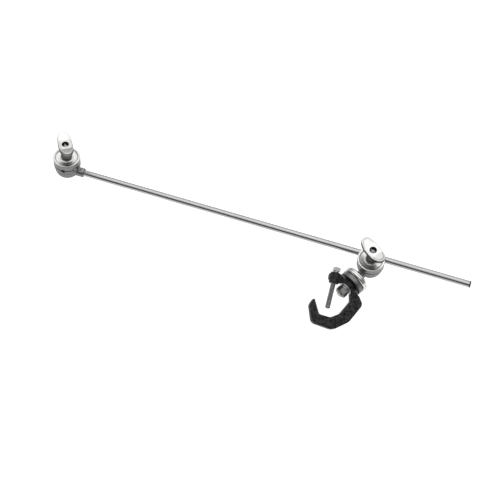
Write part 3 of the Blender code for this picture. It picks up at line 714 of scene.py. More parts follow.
def head_finishes(head, matrix):
    """The finishes of one head's jaws and castings, whose patterns follow its bolt."""
    return {
        "jaw": lathe_finish(head + "_jaw_metal", (0.80, 0.80, 0.79), matrix, (0.20, 0.34)),
        # the jaws' outer sides are turned coarser and painted dark grey as shade
        "jaw_shaded_side": lathe_finish(head + "_shaded_side_metal", grey(0.22), matrix, SATIN, lines=1.6, depth=8e-6),
        # side darkens the sides of the base and the handle, as painted shade
        "base": cast_finish(head + "_base_metal", grey(0.40), matrix, SATIN, side=0.60),
        "handle": cast_finish(head + "_handle_metal", (0.74, 0.74, 0.73), matrix, (0.18, 0.32), side=0.26),
    }


TUBE_STEEL = drawn_finish("tube_steel", grey(0.49), ARM)
# near black for bores and wells: painted shade where little light gets in
BORE_SHADE_BLACK = dark_finish("bore_shade_black")
NOSE_STEEL = zinc_finish("nose_steel", grey(0.55), (0.50, 0.65), metallic=0.2)
ZINC = zinc_finish("zinc_steel", (0.50, 0.50, 0.49))
DULL_STEEL = zinc_finish("dull_steel", grey(0.26), SATIN)
BRIGHT_STEEL = zinc_finish("bright_steel", grey(0.40), (0.16, 0.28))
SPRING_STEEL = zinc_finish("spring_wire", grey(0.42), (0.24, 0.36))
BRONZE = lathe_finish("bronze", (0.42, 0.31, 0.17), SLIDING, (0.36, 0.5))
DISC_PLATE = lathe_finish("disc_plate", (0.78, 0.78, 0.77), STUD, (0.16, 0.28), lines=1.8)
SPACER_STEEL = lathe_finish("spacer_steel", grey(0.20), STUD, (0.34, 0.48))
IRON = iron_finish("painted_iron", CLAMP)
HEAD_FINISH = {head: head_finishes(head, matrix) for head, matrix in HEADS.items()}
print("finishes:", len(bpy.data.materials))

# %% [markdown]
# ## The arm
# The arm is drawn steel tube, plated and open at its right-hand end. One closed profile, outside
# wall, end and bore, is turned round the arm's axis. The bore is coloured near black, as painted
# shade for the inside of the tube.

# %% the tube
TUBE_R = 7.95
TUBE_WALL = 2.0
TUBE_ENDS = (12.0, 1028.0)     # from the fixed head's bolt
TUBE_BORE = TUBE_R - TUBE_WALL
DARK_END = 3.2                 # of the open end that gets the bore's near-black colour


def dark_bore_or_end(centres):
    """Faces of the bore, given painted shade, and of the tube's last few millimetres and open end."""
    in_bore = np.hypot(centres[:, 0], centres[:, 1]) < TUBE_BORE + 0.5
    return in_bore | (centres[:, 2] > TUBE_ENDS[1] - DARK_END)


def arm_tube():
    """One closed wall profile turned round the arm: outer skin, rounded rim and bore.

    The bore is coloured near black as painted shade, and the open end and its last few millimetres get the
    same colour.
    """
    low, high = TUBE_ENDS
    profile = [
        (TUBE_R, high, 0.7),
        (TUBE_R, high - DARK_END, 0.0),
        (TUBE_R, low, 0.5),
        (TUBE_BORE, low, 0.4),
        (TUBE_BORE, high, 0.5),
    ]
    tube = shell("tube", turned(profile, closed=True))
    settle(tube, "arm_tube", ARM, TUBE_STEEL, BORE_SHADE_BLACK, dark_bore_or_end)


arm_tube()

# %% [markdown]
# ## Jaws
# Each head holds rods between two disc jaws. Where the jaws meet, each has two channels that
# make a hexagon with the other's, a big one and a small one, so that a round rod touches flats.
# The discs are turned, and a channel cutter with chamfered lips is taken out of them.

# %% sizes that the jaws share
HEAD_R = 33.0
SPLIT = 1.5                    # half the gap between closed jaws
BOLT_R = 6.35
BORE_R = BOLT_R + 0.3
SPRING_WELL_R = 8.75
SPRING_WELL_Z = 6.8
FRONT_TOP = 18.0               # this and the next three are heights from the split's middle
HUB_TOP = 16.0
DISH = 15.0
REAR_FOOT = -11.5
CHANNELS = ((8.25, 16.5), (5.05, -13.0))   # from flat to middle, and offset from the bolt
JAW_TURN = {"sliding": 0.0, "fixed": -60.0}
LIP = 0.6                      # chamfer along a channel's lips


def spun(degrees):
    """A turn about z."""
    return Matrix.Rotation(math.radians(degrees), 4, "Z")


# %% the channel cutter


def prism(section, low, high):
    """A (u, v) outline carried straight along x, with flat ends."""
    outline = np.array(section, float)
    ends = [np.column_stack([np.full(len(outline), x), outline]) for x in (low, high)]
    return np.vstack(ends), capped_faces(2, len(outline))


def channel(side, reach, offset):
    """Half a hexagon whose flat is at the reach; its sloping walls stand at corner - z / sqrt(3)."""
    corner = reach * 2 / math.sqrt(3)
    at_split = corner - SPLIT / math.sqrt(3)
    under_lip = corner - (SPLIT + LIP) / math.sqrt(3)
    past_split = [(at_split + 2 * LIP, -1.0), (at_split + 2 * LIP, SPLIT - LIP)]
    right = past_split + [(under_lip, SPLIT + LIP), (corner / 2, reach)]
    left = [(-y, z) for y, z in reversed(right)]
    section = [(offset + y, side * z) for y, z in right + left]
    return prism(section, -1.5 * HEAD_R, 1.5 * HEAD_R)


# %% the two jaws of a head


def on_shaded_side(centres):
    """Faces of a jaw's outer side, which is turned coarser than its face and painted darker as shade."""
    return (np.hypot(centres[:, 0], centres[:, 1]) > HEAD_R - 1.0) & (centres[:, 2] < FRONT_TOP - 1.2)


def disc_jaw(head, matrix, which, profile, way):
    """A turned disc cut by both channels on its inner face, which is way along z of the split."""
    jaw = shell(f"{head}_{which}_jaw_metal", turned(profile, 144, closed=True))
    cuts = [shell("cut", channel(way, *size), spun(JAW_TURN[head])) for size in CHANNELS]
    worked(jaw, cuts=cuts)
    finish = HEAD_FINISH[head]
    settle(jaw, f"{head}_{which}_jaw", matrix, finish["jaw"], finish["jaw_shaded_side"], on_shaded_side)


def front_jaw(head, matrix):
    """Its disc has a raised rim, a dished face and a low hub."""
    profile = [
        (28.5, FRONT_TOP, 0.9),
        (HEAD_R, FRONT_TOP, 1.7),
        (HEAD_R, SPLIT, 0.9),
        (SPRING_WELL_R, SPLIT, 0.3),
        (SPRING_WELL_R, SPRING_WELL_Z, 0.2),
        (BORE_R, SPRING_WELL_Z, 0.2),
        (BORE_R, HUB_TOP, 0.4),
        (15.0, HUB_TOP, 0.6),
        (16.2, DISH, 0.7),
        (26.7, DISH, 1.6),
    ]
    disc_jaw(head, matrix, "front", profile, 1.0)


def rear_jaw(head, matrix):
    """Its disc is plain, with a rounded lower edge."""
    profile = [
        (HEAD_R, -SPLIT, 0.9),
        (HEAD_R, REAR_FOOT, 2.6),
        (BORE_R, REAR_FOOT, 0.4),
        (BORE_R, -SPRING_WELL_Z, 0.2),
        (SPRING_WELL_R, -SPRING_WELL_Z, 0.2),
        (SPRING_WELL_R, -SPLIT, 0.3),
    ]
    disc_jaw(head, matrix, "rear", profile, -1.0)


for head, matrix in HEADS.items():
    front_jaw(head, matrix)
    rear_jaw(head, matrix)

# %% [markdown]
# ## Springs between the jaws
# A spring in the middle of each head pushes its jaws apart when the T-handle is backed off. It is
# a wire circle carried along a helix whose first and last turns lie closer together. It stays
# where it is drawn and rides with neither jaw.

# %% wire along a helix
WIRE_R = 0.7
COIL_R = 7.55
COIL_RISE = 11.6
COIL_TURNS = 5
END_SQUEEZE = 0.36


def coil(along=320, around=16):
    """Wire of radius w on a helix: c(s) + w (cos f e + sin f b), e outwards and b = t x e.

    Its height is rise (s - k sin(2 pi s) / 2 pi), with s from 0 to 1, so both ends are closer
    wound. The wire's ends close on its centre line.
    """
    s = np.linspace(0.0, 1.0, along)
    a = TAU * COIL_TURNS * s
    z = COIL_RISE * (s - END_SQUEEZE * np.sin(TAU * s) / TAU - 0.5)
    centre = np.column_stack([COIL_R * np.cos(a), COIL_R * np.sin(a), z])
    out = np.column_stack([np.cos(a), np.sin(a), np.zeros(along)])
    way = np.gradient(centre, axis=0)
    way /= np.linalg.norm(way, axis=1)[:, None]
    up = np.cross(way, out)
    f = np.linspace(0.0, TAU, around, endpoint=False)
    rows = np.r_[0, np.arange(along), along - 1]
    size = np.r_[0.0, np.full(along, WIRE_R), 0.0]
    ring = np.cos(f)[None, :, None] * out[rows][:, None] + np.sin(f)[None, :, None] * up[rows][:, None]
    points = centre[rows][:, None] + size[:, None, None] * ring
    return points.reshape(-1, 3), grid_faces(along + 2, around)


def jaw_spring(head, matrix):
    """A coil between the two jaws, fixed where it is drawn."""
    spring = shell(head + "_spring_wire", coil())
    settle(spring, head + "_jaw_spring", matrix, SPRING_STEEL, rides=False)
    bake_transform(spring)


for head, matrix in HEADS.items():
    jaw_spring(head, matrix)

# %% [markdown]
# ## Under the jaws
# A bronze friction disc lies between the rear jaw and the base, and a hard washer and a thrust
# bearing let the T-handle turn on the front jaw without dragging it round. All are turned rings.

# %% rings
FRICTION = (24.0, -13.0, -11.8)            # radius, foot and top, as for the next two
THRUST_WASHER = (14.0, 16.3, 18.3)
THRUST_BEARING = (13.2, 18.6, 20.8)
GROOVE_SHARE = 0.22                        # of a ring's height, from its middle to the groove's lip


def ring(name, inner, outer, low, high, soft=0.3, groove=0.0):
    """A flat ring, with a groove round its outer side if asked."""
    upper = (low + high) / 2 + (high - low) * GROOVE_SHARE
    lower = (low + high) / 2 - (high - low) * GROOVE_SHARE
    floor = outer - groove
    cut = [(outer, upper, 0.1), (floor, upper, 0.2), (floor, lower, 0.2), (outer, lower, 0.1)]
    side = [(outer, high, soft)] + (cut if groove else []) + [(outer, low, soft)]
    profile = side + [(inner, low, 0.2), (inner, high, 0.2)]
    return shell(name, turned(profile, 112, closed=True))


for head, matrix in HEADS.items():
    settle(ring(head + "_friction_plate", BORE_R, *FRICTION), head + "_friction_disc", matrix, BRONZE)
    settle(ring(head + "_hard_washer", BORE_R, *THRUST_WASHER), head + "_thrust_washer", matrix, ZINC)
    race = ring(head + "_bearing_race", BORE_R, *THRUST_BEARING, groove=0.7)
    settle(race, head + "_thrust_bearing", matrix, DULL_STEEL)

# %% [markdown]
# ## Bases
# Each base is a casting: a thick disc with a round socket that sticks out of its side. The disc
# and the socket are joined, remeshed and smoothed, which gives the soft fillet of a casting. Then
# the bores are cut, and they stay sharp, as drilling leaves them.

# %% a cast base
BASE_R = 31.0
BASE_TOP = -13.3
BASE_BOTTOM = -35.3
BOLT_SEAT = -33.7
RECESS_R = 12.5
TUBE_Z = -25.8
SHAFT_BORE = 8.25
SOCKET_ROOT = 22.0
ACROSS_X = Matrix.Rotation(math.radians(90), 4, "Y")
TUBE_LINE = Matrix.Translation((0.0, 0.0, TUBE_Z)) @ ACROSS_X
STUD_LINE = SLIDING.inverted() @ STUD
SOCKETS = {                    # axis and radius, and the mouth and the bore's floor from the bolt
    "fixed": (TUBE_LINE, 11.5, 44.0, 11.7),
    "sliding": (STUD_LINE, 11.0, 41.4, 8.7),
}
SET_SCREW_PLACE = Matrix.Translation((38.2, 0.0, TUBE_Z))
SET_SCREW_HOLE = (3.3, 6.0, 14.0)          # radius, and where the hole starts and ends
STUD_PIN_PLACE = Matrix.Translation(STUD_LINE @ Vector((0.0, 0.0, 28.5)))
STUD_PIN_HOLE = (2.8, -30.0, 30.0)


def cast_base(head, matrix):
    """Disc and socket melted together in 0.6 mm voxels, then drilled for bolt and shaft."""
    disc = [
        (0.0, BASE_TOP),
        (BASE_R, BASE_TOP, 1.4),
        (BASE_R, -20.5, 4.0),
        (27.6, -31.0, 4.0),
        (23.5, BASE_BOTTOM, 1.6),
        (0.0, BASE_BOTTOM),
    ]
    line, radius, reach, floor = SOCKETS[head]
    socket = [(0.0, reach), (radius, reach, 1.6), (radius, SOCKET_ROOT + 2.0, 0.5), (0.0, SOCKET_ROOT)]
    base = shell(head + "_base_casting", turned(disc, 128))
    worked(base, joins=[shell("socket", turned(socket, 96), line)], voxel=0.6, smooth=5)
    lead_in = [(0.0, reach + 1.0), (SHAFT_BORE + 0.85, reach + 1.0)]
    shaft = lead_in + [(SHAFT_BORE, reach - 0.6), (SHAFT_BORE, floor), (0.0, floor)]
    hole, place = (SET_SCREW_HOLE, SET_SCREW_PLACE) if head == "fixed" else (STUD_PIN_HOLE, STUD_PIN_PLACE)
    cuts = [
        drill(RECESS_R, BASE_BOTTOM - 1.0, BOLT_SEAT, soft=0.3),
        drill(BORE_R, BOLT_SEAT - 1.0, BASE_TOP + 3.3),
        shell("shaft", turned(shaft, 96), line),
        drill(*hole, place, around=48),
    ]
    worked(base, cuts=cuts)
    settle(base, head + "_base", matrix, HEAD_FINISH[head]["base"])


for head, matrix in HEADS.items():
    cast_base(head, matrix)

# %% [markdown]
# ## Threads
# The head bolts, the stud and the pipe bolt are threaded. A thread is a groove whose depth
# depends on height and angle together, so it is one more term in the turned surface's formula.

# %% head bolts with their stop pins
BOLT_END = 59.0
BOLT_HEAD_R = 12.0
BOLT_HEAD_TOP = -34.0
THREAD_FROM = 21.0
NOSE_R = 2.4
NOSE_L = 4.2
STOP_PIN_Z = BOLT_END - 2.6
STOP_PIN_R = 1.5
STOP_PIN_L = 15.0
HANDLE_TURN = {"sliding": -37.0, "fixed": -56.0}


def dowel(radius, length, around):
    """A pin with rounded ends, centred on 0."""
    end = length / 2
    soft = radius * 0.3
    return turned([(0.0, end), (radius, end, soft), (radius, -end, soft), (0.0, -end)], around)


def on_thread(centres):
    """Faces of a head bolt's threaded end, which shows in the T-handle's well."""
    return centres[:, 2] > THREAD_FROM - 1.0


def head_bolt(head, matrix):
    """Round head, plain shank, threaded upper half and a pointed nose, as one turned surface."""
    before = [
        (0.0, -38.6),
        (5.0, -38.4, 1.0),
        (9.8, -37.2, 1.5),
        (BOLT_HEAD_R, -35.4, 0.6),
        (BOLT_HEAD_R, BOLT_HEAD_TOP, 0.4),
        (BOLT_R, BOLT_HEAD_TOP, 0.3),
        (BOLT_R, THREAD_FROM - 1.0),
    ]
    nose = BOLT_END - NOSE_L
    after = [(BOLT_R, nose), (NOSE_R, BOLT_END, 1.2), (0.0, BOLT_END)]
    bolt = shell(head + "_bolt_steel", threaded(before, BOLT_R, THREAD_FROM, nose, after, THREAD_13))
    across = Matrix.Translation((0.0, 0.0, STOP_PIN_Z)) @ spun(HANDLE_TURN[head]) @ ACROSS_X
    worked(bolt, cuts=[drill(STOP_PIN_R + 0.2, -9.0, 9.0, across, around=32)])
    settle(bolt, head + "_head_bolt", matrix, ZINC, NOSE_STEEL, on_thread)
    pin = shell(head + "_stop_dowel", dowel(STOP_PIN_R, STOP_PIN_L, 40), across)
    settle(pin, head + "_stop_pin", matrix, NOSE_STEEL)


for head, matrix in HEADS.items():
    head_bolt(head, matrix)

# %% [markdown]
# ## T-handles
# A T-handle is a casting too: a hub with an oval bar across its top. The bar's wings rise
# towards their tips, and its face is slightly hollow inside a rounded rim. The oval is a
# superellipse, and the rows of the bar's surface run from its middle out to that rim.

# %% a T-handle's bar
HANDLE_TOP = 65.0
HANDLE_FOOT = 21.1
BAR_L = 75.0
BAR_W = 35.0
BAR_T = 12.0
BAR_POWER = 2.4                # 2 makes the outline an ellipse
HUB_TOP_R = 14.5
HUB_FOOT_R = 12.5
WING_RISE = 6.5
RIM_ROUND = 2.6
HOLLOW = 0.9
HOLLOW_EDGE = 4.5              # from the rim's round to where the hollow is full
HUB_BURIED = 3.0               # from the bar's face down to the hub's top, inside the bar
WELL_R = 8.4
WELL_FLOOR = 47.0


def wing_rise(x):
    """How far the bar has risen at x: nothing over the hub, then straight up to the tips."""
    return WING_RISE * np.clip((np.abs(x) - HUB_TOP_R) / (BAR_L / 2 + 1.0 - HUB_TOP_R), 0.0, 1.0)


def bar_surface(around=200, rings=40):
    """Rows from the bar's middle to its rim P(a) = (l c^(2/n) / 2, w s^(2/n) / 2), c = cos a, s = sin a.

    With g the rim's outward normal and R its round, the face's rows are k (P - R g) for k up to 1
    and the round's rows are P - R g + t g for t up to R. The height is top + rise(x) - fall(t) -
    dip, where fall is the quarter circle R - sqrt(R^2 - t^2) and dip is a smooth hollow inside
    the rim. The underside is the same without the hollow, and one face closes each middle.
    """
    half = rings // 2
    a = np.linspace(0.0, TAU, around, endpoint=False)
    unit = np.column_stack([np.cos(a), np.sin(a)])
    size = np.array([BAR_L / 2, BAR_W / 2])
    rim = size * np.sign(unit) * np.abs(unit) ** (2 / BAR_POWER)
    normal = np.sign(unit) * np.abs(unit) ** (2 - 2 / BAR_POWER) / size
    normal /= np.linalg.norm(normal, axis=1)[:, None]
    inner = rim - RIM_ROUND * normal
    k = np.r_[np.linspace(0.03, 1.0, half), np.ones(half)][:, None]
    t = np.r_[np.zeros(half), RIM_ROUND * np.sin(np.linspace(0.05, math.pi / 2, half))][:, None]
    xy = k[..., None] * inner[None] + t[..., None] * normal[None]
    fall = RIM_ROUND - np.sqrt(RIM_ROUND**2 - t**2)
    away = np.clip((1 - k) * np.linalg.norm(inner, axis=1)[None] / HOLLOW_EDGE, 0.0, 1.0)
    dip = HOLLOW * away**2 * (3 - 2 * away)
    rise = wing_rise(xy[..., 0])
    top = np.concatenate([xy, (HANDLE_TOP + rise - fall - dip)[..., None]], -1)
    under = np.concatenate([xy, (HANDLE_TOP - BAR_T + rise + fall)[..., None]], -1)[::-1]
    return np.concatenate([top, under]).reshape(-1, 3), capped_faces(4 * half, around)


# %% the whole handle


def in_well(centres):
    """Faces of a T-handle's bore and well, below the well's rounded lip, which get painted shade."""
    return (np.hypot(centres[:, 0], centres[:, 1]) < WELL_R + 0.05) & (centres[:, 2] < HANDLE_TOP - 2.2)


def t_handle(head, matrix):
    """Bar and hub melted together, then drilled for the bolt and its well."""
    hub = [
        (0.0, HANDLE_TOP - HUB_BURIED),
        (HUB_TOP_R, HANDLE_TOP - HUB_BURIED, 0.5),
        (HUB_TOP_R, HANDLE_TOP - BAR_T - 6.0, 5.0),
        (HUB_FOOT_R, HANDLE_TOP - BAR_T - 12.0, 5.0),
        (HUB_FOOT_R, HANDLE_FOOT, 1.4),
        (0.0, HANDLE_FOOT),
    ]
    handle = shell(head + "_t_handle_casting", turned(hub, 112))
    worked(handle, joins=[shell("bar", bar_surface(), spun(HANDLE_TURN[head]))], voxel=0.5, smooth=8)
    lead_in = [(0.0, HANDLE_TOP + 2.0), (WELL_R + 2.4, HANDLE_TOP + 2.0)]
    well = lead_in + [(WELL_R, HANDLE_TOP - 1.7, 0.6), (WELL_R, WELL_FLOOR, 0.5), (0.0, WELL_FLOOR)]
    bore = drill(BORE_R, HANDLE_FOOT - 1.1, WELL_FLOOR + 1.0)
    worked(handle, cuts=[shell("well", turned(well, 96)), bore])
    # the well and bore get the near-black colour, as painted shade
    settle(handle, head + "_t_handle", matrix, HEAD_FINISH[head]["handle"], BORE_SHADE_BLACK, in_well)


for head, matrix in HEADS.items():
    t_handle(head, matrix)

# %% [markdown]
# ## The swivel
# Two polished discs face each other on the stud, between the sliding head and the clamp. One
# turns with the head and the other stays on the clamp. They are turned with a deep rounded back
# edge, and a spacer ring keeps the second disc off the casting.

# %% swivel discs and spacer
DISC_R = 35.0
SWIVEL_PLATES = {              # its piece, and its face and back along the stud
    "swivel_disc": ("head_swivel_plate", 49.8, 42.0),
    "clamp_disc": ("clamp_swivel_plate", 50.1, 57.9),
}
SPACER = (31.5, 58.2, 69.2)    # radius, and where it starts and ends along the stud


def swivel_profile(flat, back):
    """Flat face, plain rim and a back edge that falls away in a wide round."""
    step = 1.0 if back > flat else -1.0
    return [
        (SHAFT_BORE, flat, 0.3),
        (DISC_R, flat, 0.9),
        (DISC_R, back - step * 3.6, 2.2),
        (DISC_R - 3.0, back - step * 0.9, 3.0),
        (DISC_R - 7.5, back, 2.0),
        (SHAFT_BORE, back, 0.3),
    ]


for node, (name, flat, back) in SWIVEL_PLATES.items():
    plate = shell(name, turned(swivel_profile(flat, back), 192, closed=True))
    settle(plate, node, STUD, DISC_PLATE)
settle(ring("spacer_ring", SHAFT_BORE, *SPACER, soft=0.8), "clamp_spacer", STUD, SPACER_STEEL)

# %% stud and its pin
STUD_R = 7.95
STUD_ENDS = (9.0, 107.6)
STUD_THREAD = (83.0, 106.5)
STUD_TIP_R = STUD_R - 1.3
STUD_PIN = (2.5, 19.0)         # radius and length


def mounting_stud():
    """Plain stud with a threaded end and a hole for its cross pin."""
    low, high = STUD_ENDS
    before = [(0.0, low), (STUD_R, low, 0.7), (STUD_R, STUD_THREAD[0] - 1.0)]
    after = [(STUD_TIP_R, high, 0.4), (0.0, high)]
    stud = shell("stud_steel", threaded(before, STUD_R, *STUD_THREAD, after, THREAD_11))
    to_stud = STUD.inverted() @ SLIDING @ STUD_PIN_PLACE
    worked(stud, cuts=[drill(*STUD_PIN_HOLE, to_stud, around=40)])
    settle(stud, "mounting_stud", STUD, ZINC)


mounting_stud()
settle(shell("stud_dowel", dowel(*STUD_PIN, 48), STUD_PIN_PLACE), "stud_pin", SLIDING, DULL_STEEL)

# %% set screw
SCREW_R = 3.0
SCREW_ENDS = (SHAFT_BORE, 11.1)
KEY_CORNER_R = 1.73
KEY_FLOOR = 9.5


def set_screw():
    """Headless screw with a six-sided recess for its key."""
    low, high = SCREW_ENDS
    outside = [(0.0, high), (SCREW_R, high, 0.5), (SCREW_R, low, 0.6), (0.0, low)]
    body = shell("socket_screw", turned(outside, 64), SET_SCREW_PLACE)
    worked(body, cuts=[drill(KEY_CORNER_R, KEY_FLOOR, high + 0.9, SET_SCREW_PLACE, around=6, soft=0.0)])
    settle(body, "socket_set_screw", FIXED, ZINC)


set_screw()

# %% [markdown]
# ## Nut and washers
# A nut is the smooth least of several surfaces: six flats and a cone at each face. The smooth
# least of distances a, b, ... is -k log(exp(-a/k) + exp(-b/k) + ...), which rounds each meeting
# edge by about k.

# %% the smooth least of several surfaces
EDGE = 0.18                    # how far meeting surfaces round each other
LEAST_FACING = 0.2             # past this cosine a flat is as good as out of reach
FIRST_STEP = 0.05              # between an end's first two rows, about


def smooth_least(values, k=EDGE):
    """-k log(sum(exp(-v / k))) over the first axis, kept stable by taking the least out first."""
    least = values.min(0)
    return least - k * np.log(np.exp(-(values - least) / k).sum(0))


def flats(a, half, sides):
    """Distance from the axis to each of a prism's flats in the direction a: half / cos(a - flat's angle)."""
    facing = np.cos(a - TAU * np.arange(sides)[:, None] / sides)
    return np.where(facing > LEAST_FACING, half / np.maximum(facing, LEAST_FACING), half / LEAST_FACING)


def coned_prism(a, z, half, sides, foot_cone, top_cone):
    """Radius of a prism between two cones, each given by its radius at its end and its growth per mm."""
    cone = np.minimum(foot_cone[0] + foot_cone[1] * (z - z[0]), top_cone[0] + top_cone[1] * (z[-1] - z))
    walls = np.repeat(flats(a, half, sides)[:, None], len(z), 1)
    return smooth_least(np.concatenate([walls, np.repeat(cone[None, :, None], len(a), 2)]))


def row_heights(low, high, below, above):
    """Heights from low to high that crowd at both ends; below and above are (reach, rows)."""
    first, last = (np.geomspace(FIRST_STEP, *size) - FIRST_STEP for size in (below, above))
    return np.r_[low + first, high - last[::-1]]


# %% hexagon nut
NUT = (89.6, 103.6)
NUT_HALF = 12.7
NUT_CONE = (NUT_HALF - 0.5, 1.55)
NUT_LEAD_IN = 0.8


def hex_nut(around=240):
    """Closed rows round the axis: lower face, six flats under two cones, upper face, bore."""
    low, high = NUT
    a = np.linspace(0.0, TAU, around, endpoint=False)
    z = row_heights(low, high, (2.6, 10), (2.6, 10))
    mouth = SHAFT_BORE + NUT_LEAD_IN
    bore = np.repeat([[mouth], [SHAFT_BORE], [SHAFT_BORE], [mouth]], around, 1)
    r = np.vstack([coned_prism(a, z, NUT_HALF, 6, NUT_CONE, NUT_CONE), bore])
    heights = np.r_[z, high, high - NUT_LEAD_IN, low + NUT_LEAD_IN, low][:, None]
    return around_axis(r, a, heights), grid_faces(len(r), around, True)


settle(shell("hexagon_nut", hex_nut()), "stud_nut", STUD, DULL_STEEL)
FLAT_WASHER = (17.5, 82.8, 85.8)           # radius, and where it starts and ends along the stud
settle(ring("flat_washer", SHAFT_BORE, *FLAT_WASHER, soft=0.5), "stud_washer", STUD, ZINC)

# %% split lock washer
LOCK = (86.1, 89.3)
LOCK_R = 13.0
LOCK_ROUND = 0.35
SPLIT_ANGLE = 0.10
SPLIT_SLANT = 0.12


def lock_washer(along=160):
    """A square section carried round almost a full turn: the split's two faces lean with height."""
    low, high = LOCK
    corners = [(LOCK_R, high), (LOCK_R, low), (SHAFT_BORE, low), (SHAFT_BORE, high)]
    section = softened(corners, LOCK_ROUND, closed=True)
    s = np.linspace(0.0, 1.0, along)[:, None]
    lean = SPLIT_SLANT * (section[:, 1] - low) / (high - low)
    a = SPLIT_ANGLE + (TAU - 2 * SPLIT_ANGLE) * s + lean[None]
    return around_axis(section[:, 0], a, section[:, 1]), capped_faces(along, len(section))


settle(shell("split_washer", lock_washer()), "stud_lock_washer", STUD, SPRING_STEEL)

# %% [markdown]
# ## The clamp
# The clamp's C is sand cast iron under black paint. Its outline has a corner radius at each
# bend. The plate, the stud's boss and the pipe bolt's boss are joined, remeshed in voxels and
# smoothed, so that the bosses grow out of the C in fillets. The holes and the spot face under the
# washer are machined afterwards. The sandy skin is too fine to model, so the finish gives it.

# %% the outline of the C
CLAMP_OUTLINE = [              # x, y and corner radius, from the bolt's boss round the mouth and back
    (88.0, 55.5, 7.0),
    (102.0, 43.5, 4.0),
    (93.0, 24.0, 6.0),
    (82.5, 13.0, 4.0),
    (82.5, -13.0, 4.0),
    (97.5, -30.0, 8.0),
    (137.1, -35.05, 6.0),
    (162.0, -26.0, 0.8),
    (178.5, -2.0, 4.0),
    (161.5, 34.0, 1.5),
    (181.0, 30.5, 14.0),
    (205.5, -5.5, 14.0),
    (177.5, -52.0, 26.0),
    (134.0, -64.5, 34.0),
    (79.0, -56.5, 13.0),
    (72.7, -36.0, 10.0),
    (72.7, 36.0, 10.0),
]
CLAMP_HALF = 10.0
CLAMP_EDGE = 4.0
LEAST_RADIUS = 0.3
PIPE_BOLT_AXIS = -Vector(JOINTS["pipe_bolt_travel"]["axis"])
PIPE_BOLT_TIP = Vector((152.01, -6.09, 0.0))
PIPE_BOLT = frame_on(CLAMP @ PIPE_BOLT_TIP, PIPE_BOLT_AXIS, CLAMP_FACE)
STUD_IN_CLAMP = CLAMP.inverted() @ STUD
BOLT_IN_CLAMP = CLAMP.inverted() @ PIPE_BOLT
TAPPED_R = 6.65
SPOT_R = 18.3
SPOT_FACE = 82.5


def rounded(corners, distance=0.0, spacing=0.9):
    """Outline whose corners are arcs, after every edge has moved inwards by a distance.

    An arc's centre lies on its corner's bisector. A corner that bends out loses the distance from
    its radius and one that bends in gains it, so each arc keeps its centre and its point count.
    """
    xy = np.array([c[:2] for c in corners])
    back = np.roll(xy, 1, 0) - xy
    ahead = np.roll(xy, -1, 0) - xy
    back /= np.linalg.norm(back, axis=1)[:, None]
    ahead /= np.linalg.norm(ahead, axis=1)[:, None]
    area = np.sum(xy[:, 0] * np.roll(xy[:, 1], -1) - np.roll(xy[:, 0], -1) * xy[:, 1])
    cross = ahead[:, 0] * back[:, 1] - ahead[:, 1] * back[:, 0]
    xy = xy + (back + ahead) * (math.copysign(distance, area) / cross)[:, None]
    lines = []
    for i, radius in enumerate(corner[2] for corner in corners):
        half = math.acos(np.clip(back[i] @ ahead[i], -1, 1)) / 2
        sweep = math.pi - 2 * half
        count = max(3, int(radius * sweep / spacing))
        bends_out = cross[i] * area > 0
        radius = max(radius - distance if bends_out else radius + distance, LEAST_RADIUS)
        middle = (back[i] + ahead[i]) / np.linalg.norm(back[i] + ahead[i])
        centre = xy[i] + middle * radius / math.sin(half)
        start = xy[i] + back[i] * radius / math.tan(half) - centre
        turn = math.copysign(1.0, cross[i]) * np.linspace(0.0, sweep, count)[:, None]
        lines.append(centre + np.cos(turn) * start + np.sin(turn) * np.array([-start[1], start[0]]))
    return np.vstack(lines)


# %% the cast frame


def plate_with_rounds(corners, half, edge, steps=4):
    """An outline between z = -half and +half with quarter rounds: inset edge (1 - cos), height edge sin."""
    bend = np.linspace(0.0, math.pi / 2, steps + 1)
    insets = np.r_[edge * (1 - np.sin(bend)), edge * (1 - np.cos(bend))]
    heights = np.r_[-half + edge * (1 - np.cos(bend)), half - edge * (1 - np.sin(bend))]
    outlines = [rounded(corners, d) for d in insets]
    count = len(outlines[0])
    rows = [np.column_stack([line, np.full(count, z)]) for line, z in zip(outlines, heights)]
    return np.vstack(rows), capped_faces(len(rows), count)


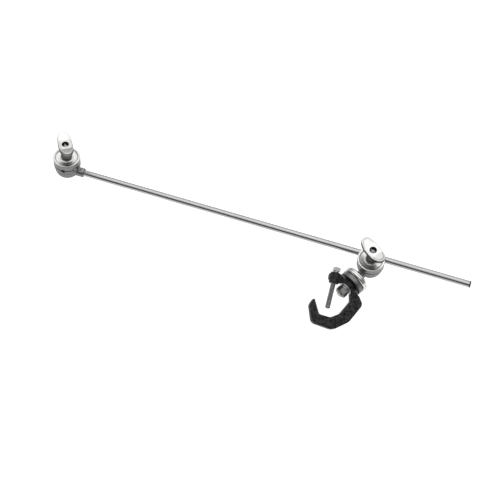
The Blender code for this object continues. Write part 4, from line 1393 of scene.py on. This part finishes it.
def clamp_frame():
    """The C and its two bosses melted together in 0.85 mm voxels, then spot-faced, drilled and tapped."""
    body = shell("clamp_casting", plate_with_rounds(CLAMP_OUTLINE, CLAMP_HALF, CLAMP_EDGE))
    stud_boss = [(0.0, 83.3), (20.0, 83.3, 1.4), (20.0, 72.0, 1.0), (19.5, 69.5, 0.8), (0.0, 69.5)]
    bolt_boss = [(0.0, 89.2), (12.0, 89.2, 1.4), (12.0, 63.2, 1.0), (0.0, 63.2)]
    joins = [
        shell("stud_boss", turned(stud_boss, 112), STUD_IN_CLAMP),
        shell("bolt_boss", turned(bolt_boss, 96), BOLT_IN_CLAMP),
    ]
    worked(body, joins=joins, voxel=0.85, smooth=8)
    cuts = [
        drill(SPOT_R, SPOT_FACE, 98.5, STUD_IN_CLAMP),
        drill(SHAFT_BORE, 62.0, 89.0, STUD_IN_CLAMP),
        drill(TAPPED_R, 32.2, 99.0, BOLT_IN_CLAMP),
    ]
    worked(body, cuts=cuts)
    settle(body, "clamp_frame", CLAMP, IRON)


clamp_frame()

# %% [markdown]
# ## The pipe bolt
# A square-headed bolt goes through the C and presses a pipe into the seat. Its shank is threaded
# almost to the head, and its tip is rounded. The head's rows use the smooth least of four flats
# and a cone at each end; the shank's rows use the thread's formula.

# %% square-headed bolt
PIPE_BOLT_THREAD = (4.2, 87.0)
SQUARE_HEAD = (93.0, 102.0)
SQUARE_HALF = 7.5
SQUARE_FOOT_CONE = (9.8, 1.8)
SQUARE_TOP_CONE = (8.2, 1.6)


def pipe_bolt(around=120):
    """Rows from the tip through the thread to the square head, all on one grid."""
    a = np.linspace(0.0, TAU, around, endpoint=False)
    tip = softened([(0.0, 0.0), (3.6, 0.25, 1.2), (5.6, 1.6, 1.2), (BOLT_R, 4.0)], 0.8)
    low, high = PIPE_BOLT_THREAD
    z = np.arange(low, high, THREAD_13 / 10)
    shank = thread_radius(BOLT_R, low, high, THREAD_13, z[:, None], a)
    foot, top = SQUARE_HEAD
    head_z = row_heights(foot, top, (1.6, 8), (2.6, 12))
    head = coned_prism(a, head_z, SQUARE_HALF, 4, SQUARE_FOOT_CONE, SQUARE_TOP_CONE)
    neck = np.full((2, around), BOLT_R)
    r = np.vstack([np.repeat(tip[:, :1], around, 1), shank, neck, head, np.zeros((1, around))])
    heights = np.r_[tip[:, 1], z, high + 2.0, foot, head_z, top][:, None]
    return around_axis(r, a, heights), grid_faces(len(r), around)


settle(shell("square_head_bolt", pipe_bolt()), "pipe_bolt", PIPE_BOLT, BRIGHT_STEEL)
